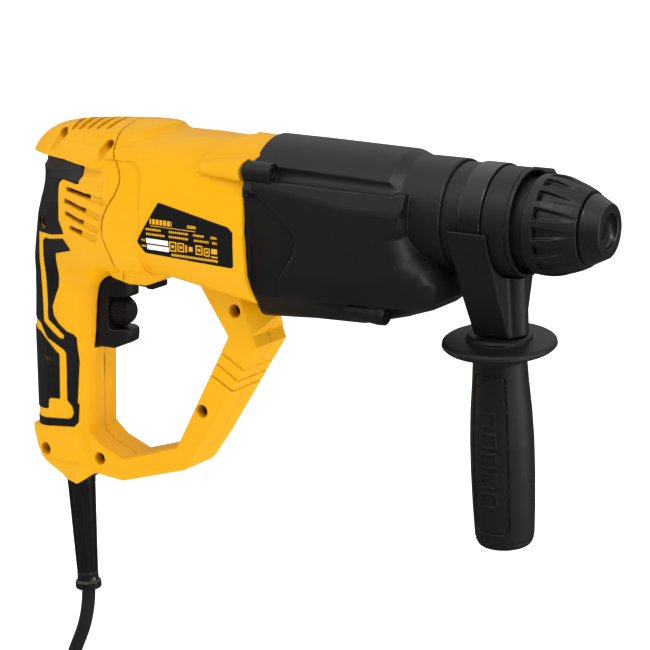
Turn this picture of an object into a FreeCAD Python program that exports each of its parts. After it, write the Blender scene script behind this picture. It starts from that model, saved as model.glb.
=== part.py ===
import FreeCAD, Part
import math
import os

V = FreeCAD.Vector

# Rotary hammer. Millimetres. +X runs along the spindle towards the tool, +Z is up, +Y is the left side.
# Stations below are written from the front face of the dust cap, with the spindle axis at y = z = 0.
# Every solid is moved by the same amount when it is written, so that the origin is the rear grip's centre.
GRIP_CENTRE = V(-330, 0, -105)

# Driving dimensions: axes
MOTOR_Z = -10.0
COUNTER_Z = -33.5
GEAR_MODULE = 1.0
ARMATURE_TEETH = 8
COUNTER_GEAR_TEETH = 39
COUNTER_PINION_TEETH = 13
SPINDLE_TEETH = 54

# Chuck and spindle
SOCKET_R = 5.05
LEAD_IN_END = -22.0
NOSE_R = 13.0
CAP_LENGTH = 9.3
SLEEVE_R = 25.2
SLEEVE_FRONT = -9.8
SLEEVE_REAR = -37.0
SPINDLE_NOSE_R = 11.0
SPINDLE_R = 17.0
SPINDLE_REAR = -145.0
CYLINDER_R = 12.05
RUNNING_GAP = 0.05

# Collar and side handle
COLLAR_R = 27.5
COLLAR_FRONT = -42.0
COLLAR_REAR = -80.0
BAND_FRONT = -57.4
BAND_REAR = -70.0
HANDLE_X = -62.6
HANDLE_SWING_DEG = 5.5
GRIP_TOP = -60.3

# Gear case and motor housing
CASE_REAR = -191.0
CASE_SHOULDER = -104.0
NECK_R = 29.0
MOTOR_R = 39.0
MOTOR_WALL = 2.5
MOTOR_REAR = -275.5
CASE_SCREW_END = -190.5

# Rear handle
SHELL_WALL = 2.6
RUBBER = 1.8
LOCK_BUTTON = (-319.0, -84.0)
LOCK_BUTTON_R = 5.0
DIAL_BASE = -299.3
DIAL_Z = -76.4
LEVER_X = -280.0

# Wobble drive and impact train
WOBBLE_X = -158.0
WOBBLE_BALL_R = 11.0
COUNTER_R = 6.0
FINGER_BALL_R = 4.5

# Mains lead
CORD_D = 8.0
BOOT_TOP = V(-328.7, 0, -178)
BOOT_TIP = V(-325.3, 0, -246.5)
CORD_ROUTE = [
    V(-325.3, 0, -246.5),
    V(-325.8, 0, -264.0),
    V(-338.2, 0, -291.0),
    V(-347.5, 0, -316.5),
    V(-352.5, 0, -343.0),
    V(-352.0, 0, -368.0),
    V(-339.8, 0, -389.2),
    V(-318.5, 0, -401.5),
    V(-296.5, 0, -402.4),
]
COIL_CENTRE = V(-306, 0, -446.5)
COIL_MID_R = 44.0
COIL_HALF_RADIAL = 12.5
COIL_HALF_WIDTH = 17.0
PLUG_TOP_Z = -491.5


# ---------------------------------------------------------------- basic solids


def cylinder_x(radius, x0, x1, y=0.0, z=0.0):
    return Part.makeCylinder(radius, abs(x1 - x0), V(min(x0, x1), y, z), V(1, 0, 0))


def cylinder_y(radius, x, z, y0, y1):
    return Part.makeCylinder(radius, abs(y1 - y0), V(x, min(y0, y1), z), V(0, 1, 0))


def cylinder_z(radius, x, y, z0, z1):
    return Part.makeCylinder(radius, abs(z1 - z0), V(x, y, min(z0, z1)), V(0, 0, 1))


def ring_x(outer, inner, x0, x1, z=0.0):
    return cylinder_x(outer, x0, x1, 0, z).cut(cylinder_x(inner, x0 - 1, x1 + 1, 0, z))


def block(x0, x1, y0, y1, z0, z1):
    return Part.makeBox(x1 - x0, y1 - y0, z1 - z0, V(x0, y0, z0))


def turned_x(profile, z=0.0):
    """A solid turned about X through height z, from (x, radius) points."""
    points = [V(profile[0][0], 0, z)]
    points += [V(x, 0, z + r) for x, r in profile]
    points += [V(profile[-1][0], 0, z), points[0]]
    face = Part.Face(Part.makePolygon(points))
    return face.revolve(V(0, 0, z), V(1, 0, 0), 360)


def turned_along(profile, start, direction):
    """A solid turned about a line, from (distance along it, radius) points."""
    points = [V(0, 0, profile[0][0])]
    points += [V(r, 0, d) for d, r in profile]
    points += [V(0, 0, profile[-1][0]), points[0]]
    solid = Part.Face(Part.makePolygon(points)).revolve(V(0, 0, 0), V(0, 0, 1), 360)
    solid.Placement = FreeCAD.Placement(start, FreeCAD.Rotation(V(0, 0, 1), direction))
    return solid


def rounded_path(points, radii, closed):
    """Straight runs joined by tangent arcs, one radius for each corner."""
    count = len(points)
    corners = range(count) if closed else range(1, count - 1)
    ends = {i: (points[i], points[i]) for i in range(count)}
    arcs = {}
    for i in corners:
        back = (points[i - 1] - points[i]).normalize()
        ahead = (points[(i + 1) % count] - points[i]).normalize()
        half_turn = (math.pi - back.getAngle(ahead)) / 2
        reach = radii[i] * math.tan(half_turn)
        start = points[i] + back * reach
        end = points[i] + ahead * reach
        inward = (back + ahead).normalize()
        middle = points[i] + inward * (radii[i] / math.cos(half_turn) - radii[i])
        ends[i] = (start, end)
        arcs[i] = Part.Arc(start, middle, end).toShape()
    edges = []
    for i in range(count if closed else count - 1):
        if i in arcs:
            edges.append(arcs[i])
        run_start = ends[i][1]
        run_end = ends[(i + 1) % count][0]
        if (run_end - run_start).Length > 1e-6:
            edges.append(Part.LineSegment(run_start, run_end).toShape())
    return Part.Wire(Part.__sortEdges__(edges))


def rounded_prism(points, radius, along):
    """A prism of a closed outline whose corners are all rounded alike."""
    wire = rounded_path(points, [radius] * len(points), True)
    return Part.Face(wire).extrude(along)


def side_prism(outline, half_width, radius=2.0):
    """A prism across the tool, of an outline of (x, z) points."""
    points = [V(x, -half_width, z) for x, z in outline]
    return rounded_prism(points, radius, V(0, 2 * half_width, 0))


def front_prism(outline, x0, x1, radius=2.0):
    """A prism along the tool, of an outline of (y, z) points."""
    points = [V(x0, y, z) for y, z in outline]
    return rounded_prism(points, radius, V(x1 - x0, 0, 0))


def section(centre, across, half_across, half_width, corner):
    """A rounded rectangle through centre, half_width wide each way along Y."""
    side = V(0, 1, 0)
    corners = [(1, 1), (-1, 1), (-1, -1), (1, -1)]
    points = [centre + across * (a * half_across) + side * (b * half_width) for a, b in corners]
    return rounded_path(points, [corner] * 4, True)


def loft(sections, shrink=0.0):
    """A smooth solid through sections of (centre, across, half_across, half_width, corner)."""
    wires = []
    for centre, across, half_across, half_width, corner in sections:
        inner = max(corner - shrink, 1.0)
        wires.append(section(centre, across, half_across - shrink, half_width - shrink, inner))
    return Part.makeLoft(wires, True, False)


def swung(shape):
    """Turns a side handle piece about the spindle, as the handle is clamped."""
    turned = shape.copy()
    turned.rotate(V(0, 0, 0), V(1, 0, 0), HANDLE_SWING_DEG)
    return turned


def fused(shapes):
    whole = shapes[0].multiFuse(shapes[1:]) if len(shapes) > 1 else shapes[0]
    return whole.removeSplitter()


# ---------------------------------------------------------------- gears


def gear(teeth, x0, x1, z, tooth_at, addendum=1.0, dedendum=1.25):
    """A spur gear about X with involute flanks. tooth_at is the angle of one tooth, from +Y towards +Z."""
    pitch_r = GEAR_MODULE * teeth / 2
    base_r = pitch_r * math.cos(math.radians(20))
    tip_r = pitch_r + addendum * GEAR_MODULE
    root_r = pitch_r - dedendum * GEAR_MODULE
    backlash = 0.15
    half_tooth = (math.pi * GEAR_MODULE / 2 - backlash) / (2 * pitch_r)

    def involute(radius):
        pressure = math.acos(min(1.0, base_r / radius))
        return math.tan(pressure) - pressure

    at_base = half_tooth + involute(pitch_r)
    steps = 5
    start_r = max(base_r, root_r)
    flank = [(root_r, at_base - involute(start_r))]
    for i in range(steps + 1):
        radius = start_r + (tip_r - start_r) * i / steps
        flank.append((radius, at_base - involute(radius)))
    points = []
    for tooth in range(teeth):
        middle = tooth_at + 2 * math.pi * tooth / teeth
        angles = [(r, middle - a) for r, a in flank]
        angles += [(r, middle + a) for r, a in reversed(flank)]
        points += [V(x0, r * math.cos(a), z + r * math.sin(a)) for r, a in angles]
    points.append(points[0])
    return Part.Face(Part.makePolygon(points)).extrude(V(x1 - x0, 0, 0))


def bearing(outer, inner, x0, x1, z):
    """A shielded ball bearing, as one ring with a shallow groove in each face."""
    ring = ring_x(outer, inner, x0, x1, z)
    middle = (outer + inner) / 2
    groove = ring_x(middle + 1.2, middle - 1.2, x0 - 0.1, x0 + 0.5, z)
    return ring.cut(groove)


# ---------------------------------------------------------------- chuck and spindle


def dust_cap():
    outer = turned_x([(-CAP_LENGTH, 17.0), (-1.0, 13.8), (0, NOSE_R)])
    mouth = turned_x([(-2.5, 6.5), (0.1, 8.0)])
    bore = cylinder_x(SOCKET_R + 0.6, -CAP_LENGTH - 1, 1)
    seat = cylinder_x(SPINDLE_NOSE_R, -CAP_LENGTH - 1, -4)
    return outer.cut(fused([mouth, bore, seat]))


def spindle_tube():
    """The tool holder and the hammer cylinder in one piece."""
    nose = cylinder_x(SPINDLE_NOSE_R, COLLAR_FRONT, -4)
    neck = cylinder_x(15, -60, COLLAR_FRONT)
    body = cylinder_x(SPINDLE_R, SPINDLE_REAR, -60)
    solid = fused([nose, neck, body])
    solid = solid.cut(cylinder_x(SOCKET_R, -67, 0))
    solid = solid.cut(cylinder_x(SOCKET_R + 1.1, LEAD_IN_END - 1.5, LEAD_IN_END))
    solid = solid.cut(cylinder_x(7 + RUNNING_GAP, -87, -66))
    solid = solid.cut(cylinder_x(CYLINDER_R, SPINDLE_REAR - 1, -86))
    solid = solid.cut(cylinder_z(3.55, -26, 0, 0, 20))
    keys = []
    for y in (-1, 1):
        keys.append(block(-60, -32, min(y * 3.6, y * 6), max(y * 3.6, y * 6), -1.2, 1.2))
    return fused([solid] + keys)


def locking_ball():
    return Part.makeSphere(3.5, V(-26, 0, 7.2))


def chuck_sleeve():
    """The sleeve that is pulled back to free the tool, with its sixteen grip flutes."""
    profile = [
        (SLEEVE_REAR, 24.6),
        (-36, 24.9),
        (-33, SLEEVE_R),
        (-28, SLEEVE_R),
        (-22, 24.2),
        (-16, 22.0),
        (SLEEVE_FRONT, 18.4),
    ]
    outer = turned_x(profile)
    outer = outer.cut(turned_x([(SLEEVE_REAR - 1, 22.4), (-27, 22.4), (-16, 17.4)]))
    web = ring_x(22.6, SPINDLE_NOSE_R + RUNNING_GAP, -31, -25.5)
    outer = outer.cut(cylinder_x(SPINDLE_NOSE_R + RUNNING_GAP, -40, 0))
    flutes = []
    for i in range(16):
        flute = cylinder_x(1.5, -31, -8, 0, 0)
        flute.rotate(V(-31, 0, 0), V(0, 1, 0), 18)
        flute.translate(V(0, 0, SLEEVE_R + 0.6))
        flute.rotate(V(0, 0, 0), V(1, 0, 0), 360 / 16 * (i + 0.5))
        flutes.append(flute)
    return fused([outer.cut(fused(flutes)), web])


def helix_spring(mean_r, wire_r, length, turns, start, direction):
    """A coil spring as a stack of closed turns, joined by a thin spine."""
    pitch = (length - 2 * wire_r) / turns
    rings = [Part.makeTorus(mean_r, wire_r, V(0, 0, wire_r + pitch * i)) for i in range(turns + 1)]
    rings.append(Part.makeCylinder(wire_r * 0.7, length - 2 * wire_r, V(mean_r, 0, wire_r)))
    spring = fused(rings)
    spring.Placement = FreeCAD.Placement(start, FreeCAD.Rotation(V(0, 0, 1), direction))
    return spring


# ---------------------------------------------------------------- impact train


def piston():
    rear = WOBBLE_X - 7.5
    front = WOBBLE_X + 36
    solid = cylinder_x(CYLINDER_R - RUNNING_GAP, rear, front)
    solid = solid.cut(cylinder_x(9 + RUNNING_GAP, WOBBLE_X + 10, front + 1))
    half_slot = FINGER_BALL_R + 0.25
    half_mouth = half_slot + 1.7
    slot = block(WOBBLE_X - half_slot, WOBBLE_X + half_slot, -6, 6, -13, 6)
    mouth = block(WOBBLE_X - half_mouth, WOBBLE_X + half_mouth, -6, 6, -13, -6.5)
    return solid.cut(fused([slot, mouth]))


def striker():
    body = cylinder_x(9, -138, -110)
    nose = turned_x([(-110, 8), (-108, 6), (-104, 5)])
    return fused([body, nose])


def impact_bolt():
    shank = cylinder_x(7, -98, -70)
    collar = cylinder_x(9.5, -96, -91)
    return fused([shank, collar])


def wobble_ring():
    """The swash ring and its finger, which turn the countershaft's wobble into the piston's stroke."""
    ring = cylinder_x(15, WOBBLE_X - 4, WOBBLE_X + 4, 0, COUNTER_Z)
    finger = cylinder_z(3, WOBBLE_X, 0, COUNTER_Z + 13, 0)
    tip = Part.makeSphere(FINGER_BALL_R, V(WOBBLE_X, 0, 0))
    solid = fused([ring, finger, tip])
    return solid.cut(Part.makeSphere(WOBBLE_BALL_R + 0.3, V(WOBBLE_X, 0, COUNTER_Z)))


def wobble_hub():
    ball = Part.makeSphere(WOBBLE_BALL_R, V(WOBBLE_X, 0, COUNTER_Z))
    ball = ball.common(block(WOBBLE_X - 8, WOBBLE_X + 8, -12, 12, COUNTER_Z - 12, COUNTER_Z + 12))
    return ball.cut(cylinder_x(6, WOBBLE_X - 20, WOBBLE_X + 20, 0, COUNTER_Z))


def countershaft():
    """The intermediate shaft, with the pinion that turns the spindle cut in its front end."""
    shaft = cylinder_x(COUNTER_R, -187.5, -121.2, 0, COUNTER_Z)
    front = cylinder_x(5, -122, -101.2, 0, COUNTER_Z)
    ends = cylinder_x(4, -194, -95, 0, COUNTER_Z)
    pinion = gear(COUNTER_PINION_TEETH, -121, -103, COUNTER_Z, math.pi / 2)
    return fused([shaft, front, ends, pinion])


# ---------------------------------------------------------------- motor


def armature_shaft():
    shaft = cylinder_x(4, -305, -183, 0, MOTOR_Z)
    pinion = gear(ARMATURE_TEETH, -183.2, -175.5, MOTOR_Z, -math.pi / 2, 1.0, 0.75)
    return fused([shaft, pinion])


def armature_core():
    """Laminated core with twelve winding slots."""
    core = ring_x(21, 4, -258, -220, MOTOR_Z)
    slots = []
    for i in range(12):
        slot = block(-259, -219, -1.4, 1.4, 14, 22)
        slot.rotate(V(0, 0, 0), V(1, 0, 0), 30 * i)
        slot.translate(V(0, 0, MOTOR_Z))
        slots.append(slot)
    return core.cut(fused(slots))


def armature_windings():
    rear = turned_x([(-268, 9), (-266, 15), (-260, 18.5), (-258, 18.5)], MOTOR_Z)
    front = turned_x([(-220, 18.5), (-217, 18.5), (-213.5, 13), (-212.5, 8)], MOTOR_Z)
    bore = cylinder_x(4, -270, -210, 0, MOTOR_Z)
    return Part.makeCompound([rear.cut(bore), front.cut(bore)])


def commutator():
    body = ring_x(13, 4, -288, -275, MOTOR_Z)
    slots = []
    for i in range(24):
        slot = block(-286.5, -274, -0.3, 0.3, 12.2, 14)
        slot.rotate(V(0, 0, 0), V(1, 0, 0), 15 * i)
        slot.translate(V(0, 0, MOTOR_Z))
        slots.append(slot)
    return body.cut(fused(slots))


def cooling_fan():
    hub = ring_x(9, 4, -211, -203, MOTOR_Z)
    disc = ring_x(31.5, 8, -204.5, -203, MOTOR_Z)
    blades = []
    for i in range(13):
        blade = block(-210.5, -204, -0.8, 0.8, 8.5, 31)
        blade.rotate(V(0, 0, 0), V(1, 0, 0), 360 / 13 * i)
        blade.translate(V(0, 0, MOTOR_Z))
        blades.append(blade)
    return fused([hub, disc] + blades)


def stator_core():
    core = ring_x(35, 21.8, -260, -218, MOTOR_Z)
    for side in (-1, 1):
        pocket = block(-261, -217, -14, 14, min(side * 25, side * 31), max(side * 25, side * 31))
        pocket.translate(V(0, 0, MOTOR_Z))
        core = core.cut(pocket)
    return core


def field_coils():
    coils = []
    for side in (-1, 1):
        low = min(side * 25.3, side * 30.7) + MOTOR_Z
        outer = block(-266, -214, -13.7, 13.7, low, low + 5.4)
        inner = block(-259.9, -218.1, -8, 8, low - 1, low + 7)
        coils.append(outer.cut(inner))
    return Part.makeCompound(coils)


def brush_holder_ring():
    """The plate behind the commutator, with the rear bearing's seat and two brush tubes."""
    plate = cylinder_x(29, -296, -293, 0, MOTOR_Z)
    seat = cylinder_x(11.5, -305, -295, 0, MOTOR_Z)
    tubes = [block(-294, -276.5, y - 6, y + 6, MOTOR_Z - 5, MOTOR_Z + 5) for y in (-22, 22)]
    body = fused([plate, seat] + tubes)
    body = body.cut(cylinder_x(9, -306, -296.5, 0, MOTOR_Z))
    body = body.cut(cylinder_x(5.5, -300, -290, 0, MOTOR_Z))
    for y in (-22, 22):
        body = body.cut(block(-286, -278, y - 8, y + 8, MOTOR_Z - 3.2, MOTOR_Z + 3.2))
    return body


def carbon_brushes():
    brushes = [block(-285.9, -278.1, y - 5, y + 5, MOTOR_Z - 3.1, MOTOR_Z + 3.1) for y in (-18.2, 18.2)]
    return Part.makeCompound(brushes)


def brush_springs():
    springs = []
    for side in (-1, 1):
        start = V(-282, side * 23.3, MOTOR_Z)
        springs.append(helix_spring(2.4, 0.35, 4.4, 4, start, V(0, side, 0)))
    return Part.makeCompound(springs)


def bearing_plate():
    plate = cylinder_x(34.5, -196, -187, 0, MOTOR_Z)
    plate = plate.cut(cylinder_x(12, -197, -188, 0, MOTOR_Z))
    plate = plate.cut(cylinder_x(9, -194.5, -186, 0, COUNTER_Z))
    return plate.cut(cylinder_x(7, -200, -180, 0, MOTOR_Z))


# ---------------------------------------------------------------- gear case


CASE_SIDE = [
    (CASE_REAR, 33),
    (CASE_SHOULDER, 33),
    (-98, 27),
    (-96, -14),
    (-83, -20),
    (-83, -42),
    (-106, -53.5),
    (-127, -58),
    (-156, -58.8),
    (CASE_REAR, -62),
]
CASE_FRONT = [
    (-38, -34),
    (-38, 4),
    (-34.5, 22),
    (-20, 33),
    (20, 33),
    (34.5, 22),
    (38, 4),
    (38, -34),
    (25, -62.5),
    (-25, -62.5),
]
# Case screws: y, z, the front of the head, and the front end of the pocket it is reached through
CASE_SCREWS = [
    (-33.0, 17.0, -176.0, -101.0),
    (33.0, 17.0, -176.0, -101.0),
    (-24.3, -50.5, -112.0, -75.0),
    (24.3, -50.5, -112.0, -75.0),
]


def case_outside():
    """The case's outer form: its side view and its front view, one limiting the other."""
    tall = side_prism(CASE_SIDE, 45, 3)
    return tall.common(front_prism(CASE_FRONT, -200, -70, 7))


def gear_housing():
    body = case_outside()
    neck = cylinder_x(NECK_R, CASE_SHOULDER - 4, COLLAR_REAR)
    body = fused([body, neck])
    body = body.cut(cylinder_x(34.8, CASE_REAR - 1, -187, 0, MOTOR_Z))
    body = body.cut(cylinder_x(SPINDLE_R + 12, -187.1, -104.5))
    body = body.cut(block(-187.1, -118, -29, 29, -48, 0))
    body = body.cut(block(-118.1, -100.5, -29, 29, -44, 0))
    body = body.cut(block(-187.1, -118, -21.5, 21.5, -55.2, -30))
    body = body.cut(block(-118.1, -101, -17, 17, -50, -30))
    body = body.cut(cylinder_x(25, -95, -85))
    body = body.cut(cylinder_x(SPINDLE_R + 3, -106, -79))
    body = body.cut(cylinder_x(9, -101, -94, 0, COUNTER_Z))
    rear_wall = ring_x(SPINDLE_R + 12.2, 21, -141, -133)
    rear_wall = rear_wall.cut(cylinder_x(9, -150, -120, 0, COUNTER_Z))
    rear_wall = rear_wall.common(block(-150, -120, -40, 40, -20, 40))
    body = fused([body, rear_wall])
    for y, z, head_x, pocket_end in CASE_SCREWS:
        body = body.cut(cylinder_x(5, head_x, pocket_end, y, z))
        body = body.cut(cylinder_x(4.1, head_x - 4, head_x + 1, y, z))
        body = body.cut(cylinder_x(2.1, -200, head_x, y, z))
    body = body.cut(cylinder_y(5.1, -150, -8, 25, 45))
    return body


def case_screw(y, z, head_x):
    """A socket screw from the front, with its end in the motor housing."""
    head = cylinder_x(4, head_x - 4, head_x, y, z)
    shank = cylinder_x(2, CASE_SCREW_END, head_x - 4, y, z)
    drive = cylinder_x(2, head_x - 1.8, head_x + 1, y, z)
    return fused([head, shank]).cut(drive)


def collar():
    """The fixed collar that the side handle clamps, hollow at the front for the sleeve's skirt."""
    profile = [
        (COLLAR_REAR, COLLAR_R),
        (BAND_REAR, COLLAR_R),
        (BAND_REAR, 26.2),
        (BAND_FRONT, 26.2),
        (BAND_FRONT, COLLAR_R),
        (COLLAR_FRONT, COLLAR_R),
    ]
    body = turned_x(profile)
    body = body.cut(cylinder_x(25.7, -51, COLLAR_FRONT + 1))
    return body.cut(cylinder_x(18, COLLAR_REAR - 1, -50))


def collar_lug():
    """A small knurled tab at the collar's front edge."""
    body = block(-51, -39, -5, 5, 27.0, 30)
    cuts = [block(-52, -38, y - 0.4, y + 0.4, 29.4, 31) for y in (-3.2, -1.6, 0, 1.6, 3.2)]
    tab = body.cut(fused(cuts))
    tab.rotate(V(0, 0, 0), V(1, 0, 0), -42)
    return tab


# ---------------------------------------------------------------- side handle


def handle_band():
    outer = ring_x(28.5, 26.28, BAND_REAR + 0.3, BAND_FRONT - 0.3)
    ears = block(BAND_REAR + 0.3, BAND_FRONT - 0.3, -8, 8, -36, -27)
    ears = ears.cut(cylinder_x(27, -80, -50))
    return swung(fused([outer, ears]))


def handle_bracket():
    """The yoke that the band draws up against the collar, with its round front rib."""
    outline = [(-30.5, 0), (30.5, 0), (19.5, -36), (9.7, -60), (-9.7, -60), (-19.5, -36)]
    body = front_prism(outline, -75, -53, 2)
    rib = cylinder_z(8, -54.6, 0, -60, -33)
    body = fused([body, rib])
    body = body.cut(cylinder_x(28.8, -80, -40))
    body = body.cut(block(BAND_REAR, BAND_FRONT, -8.4, 8.4, -36.6, -20))
    return swung(body.cut(cylinder_z(4.1, HANDLE_X, 0, -70, -20)))


def handle_bolt():
    return swung(cylinder_z(4, HANDLE_X, 0, -110, -36.2))


def side_grip():
    """The turned rubber grip with its guard flange. Turning it tightens the band."""
    profile = [
        (0, 16),
        (3, 17),
        (3, 28.5),
        (6.2, 29.8),
        (8, 28),
        (10, 15),
        (14, 13.8),
        (50, 16.3),
        (80, 16.5),
        (110, 15.6),
        (115.5, 12),
    ]
    body = turned_along(profile, V(HANDLE_X, 0, GRIP_TOP), V(0, 0, -1))
    return swung(body.cut(cylinder_z(4.1, HANDLE_X, 0, -111, -50)))


# ---------------------------------------------------------------- mode selector


def mode_knob():
    disc = cylinder_y(16, -150, -8, 38.4, 43)
    corners = [V(-166, 42.9, -12), V(-134, 42.9, -12), V(-134, 42.9, -4), V(-166, 42.9, -4)]
    bar = rounded_prism(corners, 3.5, V(0, 6, 0))
    stem = cylinder_y(5, -150, -8, 31, 39)
    return fused([disc, bar, stem]).cut(cylinder_y(3.1, -160, -8, 44.9, 50))


def knob_button():
    return cylinder_y(3, -160, -8, 47, 50)


# ---------------------------------------------------------------- rear housing and handle


def motor_housing():
    outer = cylinder_x(MOTOR_R, MOTOR_REAR, CASE_REAR - 0.2, 0, MOTOR_Z)
    bulge_outline = [
        (MOTOR_REAR, -38),
        (MOTOR_REAR, -54.8),
        (-266, -55),
        (-256, -50.5),
        (-246, -44.5),
        (-242, -38),
    ]
    body = fused([outer, side_prism(bulge_outline, 20, 1.5)])
    body = body.cut(cylinder_x(MOTOR_R - MOTOR_WALL, MOTOR_REAR - 1, -262, 0, MOTOR_Z))
    body = body.cut(cylinder_x(35.1, -262.5, -216, 0, MOTOR_Z))
    body = body.cut(cylinder_x(MOTOR_R - MOTOR_WALL, -216.5, -190, 0, MOTOR_Z))
    for y, z, _, _ in CASE_SCREWS:
        if z > 0:
            ear = cylinder_x(5.5, -222, CASE_REAR - 0.2, y, z)
            ear = ear.cut(cylinder_x(MOTOR_R - 1, -230, -180, 0, MOTOR_Z))
            body = fused([body, ear])
        body = body.cut(cylinder_x(2.1, -192, CASE_SCREW_END, y, z))
    slots = []
    for i in range(4):
        slot = block(-201, -193, -1.4, 1.4, 30, 45)
        slot.rotate(V(0, 0, 0), V(1, 0, 0), -60 - 14 * i)
        slot.translate(V(0, 0, MOTOR_Z))
        slots.append(slot)
    return body.cut(fused(slots))


def nameplate():
    skin = ring_x(MOTOR_R + 0.9, MOTOR_R + 0.1, -257, -196.5, MOTOR_Z)
    return skin.common(block(-257, -196.5, -45, -30, -33, -4))


RIGHT = V(1, 0, 0)
UP = V(0, 0, 1)


def cap_sections():
    """The rear cap, from the motor housing back to its tail."""
    rows = [(MOTOR_REAR, -51, 29, 38.5, 34), (-288, -50.5, 31, 37, 30), (-303, -44, 31.5, 33, 26)]
    rows += [(-325, -14, 30, 26, 18), (-336, -3, 25.5, 21, 12), (-345, 5, 17, 13, 5.5)]
    return [(V(x, 0, (low + high) / 2), UP, (high - low) / 2, w, c) for x, low, high, w, c in rows]


def grip_sections():
    """The rear grip, from inside the cap down to the foot."""
    rows = [(4, -293, -332.5, 24, 14), (-22, -299, -341, 22, 13), (-42, -303, -345.5, 20, 12)]
    rows += [(-68, -306, -349.5, 18.5, 12), (-105, -307, -351.5, 18, 12), (-140, -307, -351, 17.5, 12)]
    rows += [(-152, -306, -349, 17, 11), (-166, -304, -346, 16.5, 10), (-177, -309, -337, 14, 8)]
    return [(V((a + b) / 2, 0, z), RIGHT, (a - b) / 2, w, c) for z, a, b, w, c in rows]


def loop_sections():
    """The strut below the motor and the bar that closes the D, down to the foot."""
    rows = [(-206, -40, -90, 20, 16.5), (-206, -58, -90, 17, 16.5), (-207.5, -72, -92, 11, 16)]
    rows += [(-211, -86, -108, 9, 15.5), (-224, -110, -120, 8.6, 15), (-239, -136, -122, 8.8, 14)]
    rows += [(-253, -152, -145, 9.2, 13.5), (-272, -161, -160, 8, 13.5), (-296, -167, -172, 8.2, 14)]
    rows += [(-318, -167, -180, 9.5, 15)]
    sections = []
    for x, z, heading, thick, wide in rows:
        turn = math.radians(heading)
        across = V(-math.sin(turn), 0, math.cos(turn))
        sections.append((V(x, 0, z), across, thick, wide, min(thick, wide) * 0.6))
    return sections


HANDLE_SCREWS = [
    (-210.3, -62.8, 16.3),
    (-233.4, -122.4, 14.4),
    (-304.4, -162.0, 14.6),
    (-341.0, -158.0, 14.5),
    (-334.0, -28.0, 19.0),
    (-335.0, -110.0, 16.0),
    (-318.5, 21.5, 23.0),
]


def shell_whole():
    """Both halves of the rear shell in one, before they are parted at y = 0."""
    slim = [(c, a, h - RUBBER, w - RUBBER, r) for c, a, h, w, r in grip_sections()]
    outer = fused([loft(cap_sections()), loft(slim), loft(loop_sections())])
    inner = [loft(cap_sections(), SHELL_WALL), loft(slim, SHELL_WALL), loft(loop_sections(), SHELL_WALL)]
    inner.append(block(-280, -270, -34, 34, -45, 24))
    hollow = outer
    for space in inner:
        hollow = hollow.cut(space)
    bosses = []
    for x, z, _ in HANDLE_SCREWS:
        bosses.append(cylinder_y(4.6, x, z, -45, 45).common(outer))
    hollow = fused([hollow] + bosses)
    hollow = hollow.cut(cylinder_x(MOTOR_R + 0.1, MOTOR_REAR, -150, 0, MOTOR_Z))
    bulge_room = [(MOTOR_REAR, -30), (MOTOR_REAR, -56.5), (-150, -56.5), (-150, -30)]
    hollow = hollow.cut(side_prism(bulge_room, 21, 1).common(block(MOTOR_REAR, -238, -30, 30, -60, -20)))
    hollow = hollow.cut(block(-190.9, -150, -60, 60, -80, 40).common(case_outside()))
    hollow = hollow.cut(block(-325, -270, -10.2, 10.2, -97.5, -56.8))
    hollow = hollow.cut(cylinder_y(LOCK_BUTTON_R + 0.4, *LOCK_BUTTON, 5, 45))
    axis = (BOOT_TIP - BOOT_TOP).normalize()
    hollow = hollow.cut(turned_along([(-12, 9.6), (-1.4, 9.6), (-1.4, 8.6), (4, 8.6)], BOOT_TOP, axis))
    for x, z, half in HANDLE_SCREWS:
        hollow = hollow.cut(cylinder_y(1.8, x, z, -45, 8.5))
        hollow = hollow.cut(cylinder_y(3.8, x, z, -45, 2.5 - half))
    return hollow


def half_of(shape, side):
    low, high = (0, 60) if side > 0 else (-60, 0)
    half = shape.common(block(-400, -150, low, high, -200, 60))
    return max(half.Solids, key=lambda solid: solid.Volume)


def grip_cover(side):
    """The soft rubber skin on one side of the grip, under the cap and round the back."""
    slim = [(c, a, h - RUBBER, w - RUBBER, r) for c, a, h, w, r in grip_sections()]
    skin = loft(grip_sections()).cut(loft(slim))
    low, high = (0.05, 60) if side > 0 else (-60, -0.05)
    skin = skin.common(block(-400, -311, low, high, -147, 2))
    skin = skin.cut(loft(cap_sections()))
    for x, z, _ in HANDLE_SCREWS:
        skin = skin.cut(cylinder_y(4, x, z, -45, 0))
    if side > 0:
        skin = skin.cut(cylinder_y(LOCK_BUTTON_R + 0.4, *LOCK_BUTTON, 0, 40))
    return max(skin.Solids, key=lambda solid: solid.Volume)


def handle_screw(x, z, half):
    head = cylinder_y(3.5, x, z, -half + 0.2, -half + 2.4)
    shank = cylinder_y(1.7, x, z, -half + 2.4, 8)
    drive = cylinder_y(1.5, x, z, -half - 1, -half + 1.6)
    return fused([head, shank]).cut(drive)


def trigger():
    """The trigger blade, with a step near its top that the speed dial sits on."""
    outline = [
        (-311, -58.2),
        (-292, -57.4),
        (-287.4, -61),
        (-288, -65.6),
        (DIAL_BASE - 0.3, -66.2),
        (DIAL_BASE - 0.3, -86.8),
        (-289.4, -88),
        (-289.4, -92),
        (-299, -96.5),
        (-311, -96.5),
    ]
    body = side_prism(outline, 9.7, 1.2)
    return body.cut(cylinder_x(4.05, -306, -280, 0, DIAL_Z))


def speed_dial():
    wheel = turned_x([(DIAL_BASE, 8.3), (-291.5, 7.8), (-290, 6.9), (-289.4, 6.0)], DIAL_Z)
    stem = cylinder_x(4, -305, DIAL_BASE, 0, DIAL_Z)
    ribs = []
    for i in range(30):
        rib = block(DIAL_BASE + 0.6, -291, -0.35, 0.35, 6, 8.7)
        rib.rotate(V(0, 0, 0), V(1, 0, 0), 12 * i)
        rib.translate(V(0, 0, DIAL_Z))
        ribs.append(rib)
    return fused([wheel, stem, fused(ribs)])


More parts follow.
